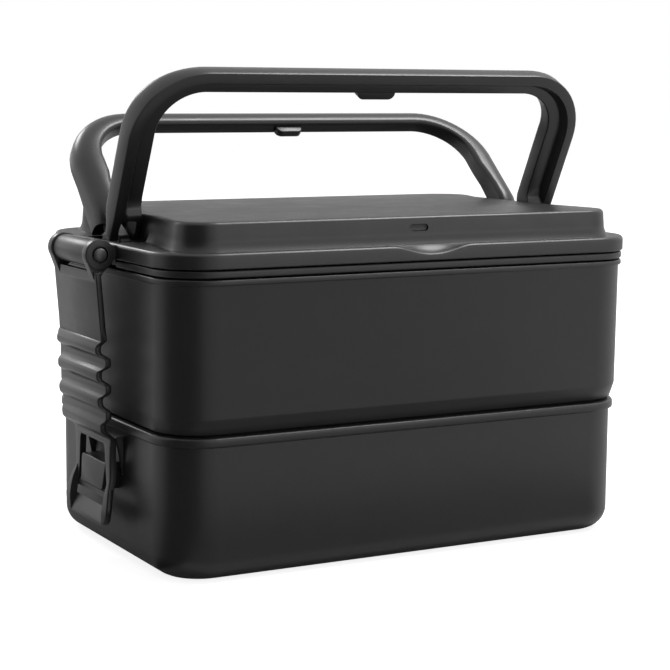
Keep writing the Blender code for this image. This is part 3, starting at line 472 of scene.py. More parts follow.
class Graph:
    """A material's node tree, with one method that adds any node."""

    def __init__(self, name: str) -> None:
        """Start a material that holds only a Principled shader and its output.

        Args:
            name: The material's name.
        """
        self.material = bpy.data.materials.new(name)
        self.material.use_nodes = True
        self.tree = self.material.node_tree
        self.shader = self.tree.nodes["Principled BSDF"]

    def node(
        self,
        kind: str,
        settings: dict | None = None,
        inputs: dict | None = None,
        output: int | str = 0,
    ) -> Socket:
        """Add a node.

        Args:
            kind: The node's type name.
            settings: Attributes to set first; a ramp's stops go under "stops".
            inputs: Values or sockets by input name or index.
            output: Which output to return.

        Returns:
            The wrapped output socket.
        """
        made = self.tree.nodes.new(kind)
        for key, value in (settings or {}).items():
            if key == "stops":
                self._set_stops(made.color_ramp, value)
            else:
                setattr(made, key, value)
        for key, value in (inputs or {}).items():
            self.feed(made.inputs[key], value)
        return Socket(self, made.outputs[output])

    def _set_stops(self, ramp: object, stops: list[Pair]) -> None:
        """Set a ramp's grey stops.

        Args:
            ramp: The colour ramp.
            stops: Each stop's position and level.
        """
        while len(ramp.elements) < len(stops):
            ramp.elements.new(1.0)
        for element, (place, level) in zip(ramp.elements, stops):
            element.position = place
            element.color = (level, level, level, 1.0)

    def feed(self, target: object, value: object) -> None:
        """Link a socket to an input, or set a plain value on it.

        Args:
            target: The input.
            value: A wrapped output socket or a constant.
        """
        if isinstance(value, Socket):
            self.tree.links.new(value.source, target)
        else:
            target.default_value = value

    def drive(self, name: str, value: object) -> None:
        """Link or set one input of the Principled shader."""
        self.feed(self.shader.inputs[name], value)

    def noise(self, coords: Socket, scale: float, detail: float, roughness: float = 0.5) -> Socket:
        """Return the value of a noise texture."""
        inputs = {"Vector": coords, "Scale": scale, "Detail": detail, "Roughness": roughness}
        return self.node("ShaderNodeTexNoise", {}, inputs)

    def ramp(self, value: Socket, stops: list[Pair]) -> Socket:
        """Return a value sent through a grey ramp."""
        return self.node("ShaderNodeValToRGB", {"stops": stops}, {0: value})

    def blend(self, factor: Socket, dark: Point, light: Point) -> Socket:
        """Return a colour between two, by a factor."""
        inputs = {0: factor, 6: (*dark, 1.0), 7: (*light, 1.0)}
        return self.node("ShaderNodeMix", {"data_type": "RGBA"}, inputs, output=2)

    def grain(self, height: Socket, strength: float, depth: float) -> None:
        """Raise the surface by a height, through one Bump node."""
        inputs = {"Strength": strength, "Distance": depth, "Height": height}
        self.drive("Normal", self.node("ShaderNodeBump", {}, inputs))


class Surroundings(Graph):
    """The world's node tree."""

    def __init__(self, name: str) -> None:
        """Start a world that holds only its background.

        Args:
            name: The world's name.
        """
        world = bpy.data.worlds.new(name)
        world.use_nodes = True
        bpy.context.scene.world = world
        self.tree = world.node_tree
        self.shader = self.tree.nodes["Background"]


@dataclass(frozen=True)
class MouldedPlastic:
    """Charcoal plastic, as it leaves a textured mould and after some handling."""

    name: str
    colour: Point
    roughness: float
    grain: Grain = Grain.SPARK
    worn: float = 0.045

    def material(self) -> bpy.types.Material:
        """Return the finish as a node material.

        Returns:
            The material.
        """
        graph = Graph(self.name)
        coords = graph.node("ShaderNodeTexCoord", output="Object")
        pitch = {Grain.SPARK: 2300.0, Grain.SATIN: 3400.0}[self.grain]
        depth = {Grain.SPARK: 0.00007, Grain.SATIN: 0.00004}[self.grain]
        pits = graph.noise(coords, pitch, 2.0)
        cells = graph.node("ShaderNodeTexVoronoi", {}, {"Vector": coords, "Scale": pitch * 0.55})
        flow = graph.noise(coords, 42.0, 4.0)
        hands = graph.noise(coords, 95.0, 5.0, 0.62)
        rubbed = graph.ramp(hands, [(0.5, 0.0), (0.72, 1.0)])
        fine = graph.ramp(hands * 0.25 + pits * 0.75, [(0.3, 0.0), (0.7, 1.0)])
        tone = fine * 0.5 + flow * 0.35 + rubbed * 0.15
        dark = tuple(c * 0.8 for c in self.colour)
        light = tuple(min(1.0, c * 1.2) for c in self.colour)
        graph.drive("Base Color", graph.blend(tone, dark, light))
        mean = self.roughness - 0.11
        graph.drive("Roughness", flow * 0.1 + pits * 0.12 + mean - rubbed * self.worn)
        graph.grain(pits * 0.6 + cells * 0.4, 0.3, depth)
        graph.drive("IOR", 1.49)
        return graph.material


@dataclass(frozen=True)
class DrawnSteel:
    """Round steel wire, cut and domed, with fine marks along it."""

    name: str
    colour: Point
    roughness: float = 0.3
    metallic: float = 1.0

    def material(self) -> bpy.types.Material:
        """Return the finish as a node material.

        Returns:
            The material.
        """
        graph = Graph(self.name)
        coords = graph.node("ShaderNodeTexCoord", output="Object")
        stretch = {"Vector": coords, "Scale": (160.0, 5200.0, 5200.0)}
        lines = graph.node("ShaderNodeMapping", {}, stretch)
        marks = graph.noise(lines, 1.0, 3.0)
        stain = graph.noise(coords, 380.0, 4.0)
        dark = tuple(c * 0.82 for c in self.colour)
        light = tuple(min(1.0, c * 1.12) for c in self.colour)
        graph.drive("Base Color", graph.blend(marks * 0.6 + stain * 0.4, dark, light))
        graph.drive("Metallic", self.metallic)
        graph.drive("Roughness", marks * 0.16 + stain * 0.08 + (self.roughness - 0.12))
        graph.grain(marks, 0.2, 0.00003)
        return graph.material


@dataclass(frozen=True)
class Silicone:
    """Soft black seal with a faint bloom on it."""

    name: str
    colour: Point = (0.03, 0.03, 0.032)

    def material(self) -> bpy.types.Material:
        """Return the finish as a node material.

        Returns:
            The material.
        """
        graph = Graph(self.name)
        coords = graph.node("ShaderNodeTexCoord", output="Object")
        bloom = graph.noise(coords, 260.0, 5.0)
        skin = graph.noise(coords, 3000.0, 2.0)
        light = tuple(c * 1.5 for c in self.colour)
        graph.drive("Base Color", graph.blend(bloom * 0.6 + skin * 0.4, self.colour, light))
        graph.drive("Roughness", bloom * 0.15 + 0.62)
        graph.grain(skin, 0.2, 0.00003)
        return graph.material


@dataclass
class SubAssembly:
    """Sizes that every sub-assembly shares, and how a finished piece joins the frame."""

    body: str = "box"
    half_x: float = 95.0
    half_y: float = 58.0
    corner: float = 18.0
    wall: float = 2.0
    floor: float = 2.2
    segments: int = 16

    def outline(self, flare: Pair, offset: float, z: float) -> Point:
        """Return one ring of a tray: half length, half width and height."""
        return (self.half_x + flare[0] + offset, self.half_y + flare[1] + offset, z)

    def outlines(self, flare: Pair, stops: Iterable[Pair]) -> list[Point]:
        """Return several rings of one flare, each given by its offset and its height."""
        return [self.outline(flare, offset, z) for offset, z in stops]

    def slab(self, name: str, ring: Point, corner: float, top: float) -> Solid:
        """Return a rounded slab, its top cap selected.

        Args:
            name: The solid's name.
            ring: Half length, half width and height of its lower outline.
            corner: Radius of its corners.
            top: Height of its top.

        Returns:
            The solid, in edit mode.
        """
        solid = Solid(name).plane(*ring)
        bpy.ops.mesh.select_all(action="SELECT")
        solid.bevel(corner, self.segments, corners=True)
        bpy.ops.mesh.select_all(action="SELECT")
        solid.extrude((0.0, 0.0, top - ring[2]))
        return solid

    def shell_from(
        self,
        name: str,
        ring: Point,
        corner: float,
        top: float,
        under: list[Point],
        over: list[Point],
    ) -> Solid:
        """Return a piece sunk and raised from a rounded slab at its widest.

        Args:
            name: The solid's name.
            ring: Half length, half width and height of the slab's lower outline.
            corner: Radius of the slab's corners.
            top: Height of the slab's top.
            under: Outlines from the slab's underside on.
            over: Outlines from its top on.

        Returns:
            The solid, mended.
        """
        solid = self.slab(name, ring, corner, top)
        solid.cap(ring[2], False)
        solid.rings(under, ring[2])
        solid.half = ring[:2]
        solid.cap(top, True)
        solid.rings(over, top)
        solid.mend()
        return solid

    def join_frame(self, piece: bpy.types.Object, node: str, slot: str) -> None:
        """Let the piece ride on its body and stand for its CAD node.

        Args:
            piece: The finished piece.
            node: The CAD node that it stands for.
            slot: The record's material slot; not used.
        """
        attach(piece, self.body)
        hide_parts(node)
        faces = sum(len(face.vertices) - 2 for face in piece.data.polygons)
        LOG.info("%s: %d triangles, on %s, for %s", piece.name, faces, self.body, node)


def quarter(radius: float, steps: int) -> list[Pair]:
    """Return (inset, rise) along a quarter round, from a level face up to a wall."""
    turns = [math.radians(90 * k / steps) for k in range(steps + 1)]
    return [(radius * (1 - math.sin(a)), radius * (1 - math.cos(a))) for a in turns]


@dataclass
class LowerTray(SubAssembly):
    """Lower tier: rounded foot, beaded rim, and at each end a catch block and two guard ribs."""

    foot: float = 8.4
    wall_low: float = 28.0
    bead_out: float = 1.4
    bead_band: Pair = (48.1, 49.3)
    bead_under: tuple[Pair, ...] = ((0.93, 47.75), (0.7, 47.5), (0.2, 47.35), (0.0, 47.15))
    bead_round: float = 1.2
    bead_top: float = 50.8
    lip: tuple[Pair, ...] = ((-0.6, 51.0), (-1.2, 51.3), (-1.7, 51.3), (-2.0, 51.0))
    catch_z: Pair = (25.3, 35.4)
    catch_half: Pair = (10.3, 11.7)
    catch_out: Pair = (6.6, 5.6)
    rib_y: float = 14.0
    rib_half: float = 0.8
    rib_out: Pair = (0.3, 2.9)
    rib_z: Pair = (31.0, 44.9)

    def shell(self) -> Solid:
        """Return the tray without its catches, sunk and raised from the bead's outline.

        Returns:
            The tray's shell, in edit mode.
        """
        under = [(self.bead_out * share, z) for share, z in self.bead_under]
        under += [(0.0, self.wall_low)] + [(-a, b) for a, b in quarter(self.foot, 9)[::-1]]
        edge = quarter(self.bead_round, 6)[::-1]
        over = [(self.bead_out - a, self.bead_top - b) for a, b in edge] + list(self.lip)
        inside = quarter(self.foot - self.wall, 7)[::-1]
        over += [(-self.wall - a, self.floor + b) for a, b in inside]
        low, high = self.bead_band
        ring = self.outline(UPRIGHT, self.bead_out, low)
        under, over = self.outlines(UPRIGHT, under), self.outlines(UPRIGHT, over)
        corner = self.corner + self.bead_out
        return self.shell_from("lower_tray_shell", ring, corner, high, under, over)

    def catches(self) -> Solid:
        """Return both catch blocks: wedges with rounded corners that fill the latch windows.

        Returns:
            The blocks, in edit mode.
        """
        root, out = self.half_x - 1.0, self.half_x + self.catch_out[0]
        low, high = self.catch_z
        half, top_half = self.catch_half
        solid = Solid("catches").cube((root, -half, low), (out, half, high))
        solid.pick(Part.FACES, lambda place, normal: normal.z > 0.9)
        solid.resize((1.0, top_half / half, 1.0), (root, 0.0, high))
        solid.pick(Part.VERTS, lambda place, normal: place.x > out - 0.1 and place.z > high - 0.1)
        solid.shift((self.catch_out[1] - self.catch_out[0], 0.0, 0.0))
        solid.round_edges(lambda place, run: abs(run.x) > 0.9, 1.3, 5)
        solid.round_rims(lambda place, normal: normal.x > 0.8, 0.4)
        return solid.mirror()

    def ribs(self) -> Solid:
        """Return the four guard ribs beside the latches, deepest under the bead.

        Returns:
            The ribs, in edit mode.
        """
        low, high = self.rib_z
        shallow, deep = self.rib_out
        start = (self.half_x - 1.0, self.rib_y - self.rib_half, low)
        solid = Solid("ribs").cube(start, (self.half_x + deep, self.rib_y + self.rib_half, high))
        solid.pick(Part.FACES, lambda place, normal: normal.x > 0.9)
        solid.resize((1.0, 0.7, 1.0), (self.half_x, self.rib_y, low))
        solid.pick(Part.VERTS, lambda place, normal: place.x > self.half_x and place.z < low + 1.0)
        solid.shift((shallow - deep, 0.0, 0.0))
        solid.round_edges(lambda place, run: place.x > self.half_x + 1.0, 0.35)
        return solid.mirror(True, True)

    def build(self, finish: MouldedPlastic) -> None:
        """Build and dress the lower tray.

        Args:
            finish: Its plastic.
        """
        solid = self.shell()
        solid.combine(self.catches(), Cut.ON).combine(self.ribs(), Cut.ON)
        self.join_frame(solid.finish(finish.material()), "lower_tray", "lower_tray_plastic")


@dataclass
class UpperTray(SubAssembly):
    """Upper tier: nested foot, chamfer above the seam, flaring wall and lip."""

    bottom: float = 51.7
    chamfer_top: float = 57.0
    wall_top: float = 102.3
    lip_band: Pair = (103.3, 104.05)
    lip_low: float = 102.9
    lip_top: float = 104.85
    lip_round: float = 0.8
    flare_low: Pair = (0.9, 2.0)
    flare_high: Pair = (1.2, 2.4)
    flare_lip: Pair = (1.6, 4.0)
    groove_in: float = 4.3
    groove_low: float = 49.0
    nest_in: float = 3.4
    nest_low: float = 43.5
    foot: float = 3.0
    inside: float = 6.3
    inside_z: Pair = (58.0, 52.7)

    def build(self, finish: MouldedPlastic) -> None:
        """Build and dress the upper tray, sunk and raised from the lip's outline.

        Args:
            finish: Its plastic.
        """
        foot = quarter(self.foot, 5)[::-1]
        low, bottom, chamfer = self.lip_low, self.bottom, self.chamfer_top
        under = self.outlines(self.flare_lip, [(-0.12, low + 0.12), (-0.4, low)])
        under += self.outlines(self.flare_high, [(0.25, low - 0.1), (0.0, self.wall_top)])
        under += self.outlines(self.flare_low, [(0.02, chamfer + 0.5), (-0.1, chamfer - 0.1)])
        steps = [(-0.15, bottom + 0.25), (-0.45, bottom), (-self.groove_in, bottom)]
        steps += [(-self.groove_in, self.groove_low), (-self.nest_in, self.groove_low)]
        steps += [(-self.nest_in - a, self.nest_low + b) for a, b in foot]
        under += self.outlines(UPRIGHT, steps)
        top, wall = self.lip_top, self.wall
        edge = quarter(self.lip_round, 6)[-2::-1]
        over = self.outlines(self.flare_lip, [(-a, top - b) for a, b in edge])
        over += self.outlines(self.flare_high, [(0.3 - wall, top), (-wall, top - 0.3)])
        over += self.outlines(self.flare_low, [(-wall, self.inside_z[0])])
        floor = self.nest_low + self.floor
        steps = [(-self.inside, self.inside_z[1])]
        steps += [(-self.inside - a, floor + b) for a, b in foot]
        over += self.outlines(UPRIGHT, steps)
        ring = self.outline(self.flare_lip, 0.0, self.lip_band[0])
        corner = self.corner + sum(self.flare_lip) / 4
        solid = self.shell_from("upper_tray_shell", ring, corner, self.lip_band[1], under, over)
        self.join_frame(solid.finish(finish.material()), "upper_tray", "upper_tray_plastic")


@dataclass
class InnerLid(SubAssembly):
    """Flat lid of the upper tier: the band that shows, the plug below it and the end notches."""

    flare: Pair = (1.2, 2.4)
    flare_band: Pair = (1.6, 4.0)
    band: Pair = (105.35, 107.85)
    band_round: float = 0.6
    plug: tuple[Pair, ...] = (
        (-4.3, 105.35),
        (-4.3, 102.65),
        (-3.2, 102.65),
        (-3.2, 100.0),
        (-3.6, 99.6),
        (-5.8, 99.6),
        (-5.8, 103.5),
    )
    panel: tuple[Pair, ...] = ((-5.8, 107.85), (-6.2, 105.3))
    notch_low: Point = (81.0, -12.8, 105.1)
    notch_high: Point = (99.0, 20.8, 108.9)

    def notches(self) -> Solid:
        """Return the blocks that clear the outer lid's wells at both ends.

        Returns:
            The cutter, in edit mode.
        """
        solid = Solid("notches").cube(self.notch_low, self.notch_high)
        solid.round_edges(lambda place, run: abs(run.z) > 0.9 and place.x < 90.0, 1.2, 4)
        return solid.mirror()

    def build(self, finish: MouldedPlastic) -> None:
        """Build and dress the inner lid, sunk and raised from the band's outline.

        Args:
            finish: Its plastic.
        """
        low, high = self.band
        edge = quarter(self.band_round, 5)[-2::-1]
        under = self.outlines(self.flare_band, [(-a, low + b) for a, b in edge])
        under += self.outlines(self.flare, self.plug)
        over = self.outlines(self.flare_band, [(-a, high - b) for a, b in edge])
        over += self.outlines(self.flare, self.panel)
        ring = self.outline(self.flare_band, 0.0, low + self.band_round)
        corner = self.corner + sum(self.flare_band) / 4
        top = high - self.band_round
        solid = self.shell_from("inner_lid_shell", ring, corner, top, under, over)
        solid.combine(self.notches(), Cut.AWAY)
        self.join_frame(solid.finish(finish.material()), "inner_lid", "inner_lid_plastic")


@dataclass
class OuterLid(SubAssembly):
    """Rim and dome with drawn-in ends, handle wells, latch barrels, scallop and vent mark."""

    rim_half: Pair = (97.0, 62.4)
    rim_corner: float = 19.5
    rim_low: float = 108.35
    rim_top: float = 113.8
    rim_wall: float = 2.3
    rim_round: float = 1.5
    dome_half: Pair = (88.5, 56.0)
    dome_front_corner: float = 12.0
    dome_back_corner: float = 18.0
    dome_top: float = 123.7
    dome_round: float = 1.6
    dome_crown: float = 0.8
    dome_taper: float = 0.3
    dome_cove: float = 1.5
    dome_skirt: float = 4.4
    dome_wall: float = 1.9
    waist: float = 6.0
    waist_flat: Pair = (8.0, 28.0)
    waist_end: float = 52.0
    waist_cuts: int = 26
    crown_shares: tuple[float, ...] = (0.94, 0.85, 0.72, 0.55, 0.36, 0.16)
    ledge: tuple[float, ...] = (2.6, 3.6, 4.3, 4.9)
    scallop_x: float = 4.3
    scallop_half: float = 15.5
    scallop_depth: float = 2.8
    scallop_cuts: int = 72
    scallop_rows: tuple[Pair, ...] = ((2.0, 1.0), (3.0, 0.62), (4.0, 0.3), (4.5, 0.08))
    vent: Pair = (1.4, 119.55)
    vent_half: Pair = (3.9, 1.25)
    vent_depth: float = 0.8
    hinge: Pair = (2.0, 112.0)
    hinge_x: Pair = (77.9, 96.2)
    well_x: Pair = (82.8, 94.7)
    well_y: Pair = (-11.0, 19.0)
    well_floor: float = 107.3
    well_wall: float = 1.5
    latch: Pair = (104.7, 110.6)
    barrel: float = 4.8
    barrel_half: float = 14.7
    neck_z: Pair = (-2.2, 2.6)
    bore: float = 1.72

    def rim(self) -> Solid:
        """Return the rim: a rounded slab whose upper edge dips at the finger scallop.

        Returns:
            The rim, in edit mode.
        """
        across, deep = self.rim_half
        start = self.rim_low + 0.3
        solid = Solid("outer_lid_shell").plane(across, deep, start)
        bpy.ops.mesh.select_all(action="SELECT")
        solid.bevel(self.rim_corner, self.segments, corners=True)
        solid.pick(Part.EDGES, lambda place, run: place.y < -deep + 0.1 and abs(run.x) > 0.99999)
        bpy.ops.mesh.subdivide(number_cuts=self.scallop_cuts)
        bpy.ops.mesh.select_all(action="SELECT")
        shoulder = self.rim_top - self.rim_round
        solid.extrude((0.0, 0.0, shoulder - start))
        over = [(a, self.rim_top - b) for a, b in quarter(self.rim_round, 6)[-2::-1]]
        over += [(inset, self.rim_top) for inset in self.ledge]
        solid.rings([(across - inset, deep - inset, z) for inset, z in over], shoulder)
        solid.half = self.rim_half
        solid.cap(start, False)
        under = [(0.3, self.rim_low), (self.rim_wall, self.rim_low)]
        under += [(inset, self.rim_top - self.dome_wall) for inset in (self.rim_wall, 4.3, 5.0)]
        solid.rings([(across - inset, deep - inset, z) for inset, z in under], start)
        self.dip(solid)
        return solid

    def dip(self, solid: Solid) -> None:
        """Lower the rim's front edge along a soft hollow for a fingertip.

        Args:
            solid: The rim, in edit mode.
        """
        edge = -self.rim_half[1]
        front = edge + self.scallop_rows[-1][0]
        low = self.rim_top - self.dome_wall - 0.1
        columns = set()
        for vert in bmesh.from_edit_mesh(solid.item.data).verts:
            place = vert.co / MM
            near_scallop = abs(place.x - self.scallop_x) < self.scallop_half
            if place.y < front and place.z > low and near_scallop:
                columns.add(round(place.x, 2))
        for column in sorted(columns):
            along = abs(column - self.scallop_x) / self.scallop_half
            depth = self.scallop_depth * (1 - along ** 2) ** 1.6
            near = edge - 1.0
            for far, share in self.scallop_rows:

                def chosen(place: Vector, normal: Vector) -> bool:
                    """Tell whether a point of this column lies in this row."""
                    in_row = near < place.y < edge + far and place.z > low
                    return in_row and abs(place.x - column) < 0.02

                if solid.pick(Part.VERTS, chosen):
                    solid.shift((0.0, 0.0, -depth * share))
                near = edge + far

    def dome_plan(self, name: str, offset: float, z: float) -> Solid:
        """Return the dome's level outline with its waisted ends, all selected.

        Args:
            name: The solid's name.
            offset: How far it stands outside the dome's own outline.
            z: Its height.

        Returns:
            The outline, in edit mode.
        """
        half_x, half_y = (half + offset for half in self.dome_half)
        solid = Solid(name).plane(half_x, half_y, z)
        solid.pick(Part.VERTS, lambda place, normal: place.y < 0)
        solid.bevel(self.dome_front_corner + offset, self.segments, corners=True)
        solid.pick(
            Part.VERTS, lambda place, normal: place.y > half_y - 0.5 and abs(place.x) > half_x - 0.5
        )
        solid.bevel(self.dome_back_corner + offset, self.segments, corners=True)
        solid.pick(
            Part.EDGES, lambda place, run: abs(place.x) > half_x - 0.05 and abs(run.y) > 0.99999
        )
        bpy.ops.mesh.subdivide(number_cuts=self.waist_cuts)
        rows = set()
        for vert in bmesh.from_edit_mesh(solid.item.data).verts:
            if abs(vert.co.x / MM) > self.dome_half[0] - self.dome_back_corner:
                rows.add(round(vert.co.y / MM, 3))
        for row in sorted(rows):
            flat = self.waist_flat[1] if row > 0 else self.waist_flat[0]
            drawn = self.waist * (1 - smoothstep(flat, self.waist_end, abs(row)))
            for side in (-1, 1):
                solid.pick(
                    Part.VERTS,
                    lambda place, normal, y=row, end=side: (
                        abs(place.y - y) < 0.002 and place.x * end > 60.0
                    ),
                )
                solid.shift((-side * drawn, 0.0, 0.0))
        bpy.ops.mesh.select_all(action="SELECT")
        return solid

    def dome(self) -> Solid:
        """Return the dome's outside: cove, tapering wall, rounded edge and low crown.

        Returns:
            The dome, in edit mode.
        """
        half_x, half_y = self.dome_half
        spread = self.dome_taper + self.dome_cove
        buried = 1.2
        solid = self.dome_plan("dome", spread, self.rim_top - buried)
        solid.extrude((0.0, 0.0, buried))
        stops = []
        for k in range(1, 7):
            out = spread - self.dome_cove * (1 - (1 - k / 6) ** 2)
            stops.append((half_x + out, half_y + out, self.rim_top + self.dome_skirt * k / 6))
        stops.append((half_x, half_y, self.dome_top - self.dome_round))
        for inset, rise in quarter(self.dome_round, 6)[-2::-1]:
            stops.append((half_x - inset, half_y - inset, self.dome_top - rise))
        solid.rings(stops, self.rim_top)
        height = self.dome_top
        inner = (half_x - self.dome_round, half_y - self.dome_round)
        for share in self.crown_shares:
            rise = self.dome_top + self.dome_crown * (1 - share**2) - height
            solid.extrude((0.0, 0.0, rise))
            scale = share * inner[0] / solid.half[0]
            solid.resize((scale, scale, 1.0), (0.0, 0.0, 0.0))
            solid.half = (share * inner[0], share * inner[1])
            height += rise
        return solid

    def hollow(self) -> Solid:
        """Return the space inside the dome.

        Returns:
            The cutter, in edit mode.
        """
        start, chamfer = self.rim_low - 1.0, 0.8
        solid = self.dome_plan("hollow", -self.dome_wall, start)
        solid.extrude((0.0, 0.0, self.dome_top - self.dome_wall - chamfer - start))
        half_x, half_y = (half - self.dome_wall - chamfer for half in self.dome_half)
        solid.ring_to(half_x, half_y, chamfer)
        return solid

    def well_walls(self) -> Solid:
        """Return the walled blocks that hang at both ends, one for each end's handle feet.

        Returns:
            The blocks, in edit mode.
        """
        wall = self.well_wall
        low = (self.well_x[0] - wall, self.well_y[0] - wall, self.well_floor - 1.2)
        high = (self.rim_half[0] - 0.4, self.well_y[1] + wall, self.rim_top - 0.8)
        solid = Solid("well_walls").cube(low, high)
        solid.round_edges(lambda place, run: abs(run.z) > 0.9 and place.x < 90.0, 1.0, 4)
        return solid.mirror()

    def well_spaces(self) -> Solid:
        """Return the spaces that open both wells through the ledge.

        Returns:
            The cutter, in edit mode.
        """
        low = (self.well_x[0], self.well_y[0], self.well_floor)
        high = (self.well_x[1], self.well_y[1], self.dome_top + 4.0)
        solid = Solid("well_spaces").cube(low, high)
        solid.round_edges(lambda place, run: abs(run.z) > 0.9, 0.8, 4)
        return solid.mirror()

    def barrels(self) -> Solid:
        """Return the latch hinges' middle knuckles: round barrels, each on a neck block.

        Returns:
            The knuckles, in edit mode.
        """
        (x, z), half = self.latch, self.barrel_half
        low = (self.rim_half[0] - 1.0, -half, z + self.neck_z[0])
        neck = Solid("necks").cube(low, (x, half, z + self.neck_z[1]))
        barrel = Solid("barrels").cylinder((x, -half, z), (x, half, z), self.barrel, 72)
        barrel.round_rims(lambda place, normal: abs(normal.y) > 0.9, 0.5)
        barrel.combine(neck, Cut.ON)
        return barrel.mirror()

    def bores(self) -> list[Solid]:
        """Return the pin holes of the handles and of the latches.

        Returns:
            Two cutters, in edit mode.
        """
        (near, far), (y, z) = self.hinge_x, self.hinge
        handles = Solid("handle_bores").cylinder((near, y, z), (far, y, z), self.bore, 40)
        handles.mirror()
        (x, z), reach = self.latch, self.barrel_half + 1.0
        latches = Solid("latch_bores").cylinder((x, -reach, z), (x, reach, z), self.bore, 40)
        return [handles, latches.mirror()]

    def vent_mark(self) -> Solid:
        """Return the shallow pill-shaped mark's cutter.

        Returns:
            The cutter, in edit mode.
        """
        (x, z), (half_x, half_z) = self.vent, self.vent_half
        face = -self.dome_half[1]
        low = (x - half_x, face - self.dome_taper - 1.0, z - half_z)
        solid = Solid("vent").cube(low, (x + half_x, face + self.vent_depth, z + half_z))
        solid.round_edges(lambda place, run: abs(run.y) > 0.9, half_z - 0.01, 8)
        solid.round_rims(lambda place, normal: normal.y > 0.9, 0.35)
        return solid

    def build(self, finish: MouldedPlastic) -> None:
        """Build and dress the outer lid.

        Args:
            finish: Its plastic.
        """
        solid = self.rim()
        solid.mend()
        solid.combine(self.dome(), Cut.ON).combine(self.hollow(), Cut.AWAY)
        solid.combine(self.well_walls(), Cut.ON).combine(self.well_spaces(), Cut.AWAY)
        solid.combine(self.barrels(), Cut.ON).combine(self.vent_mark(), Cut.AWAY)
        for bore in self.bores():
            solid.combine(bore, Cut.AWAY)
        self.join_frame(solid.finish(finish.material()), "outer_lid", "outer_lid_plastic")


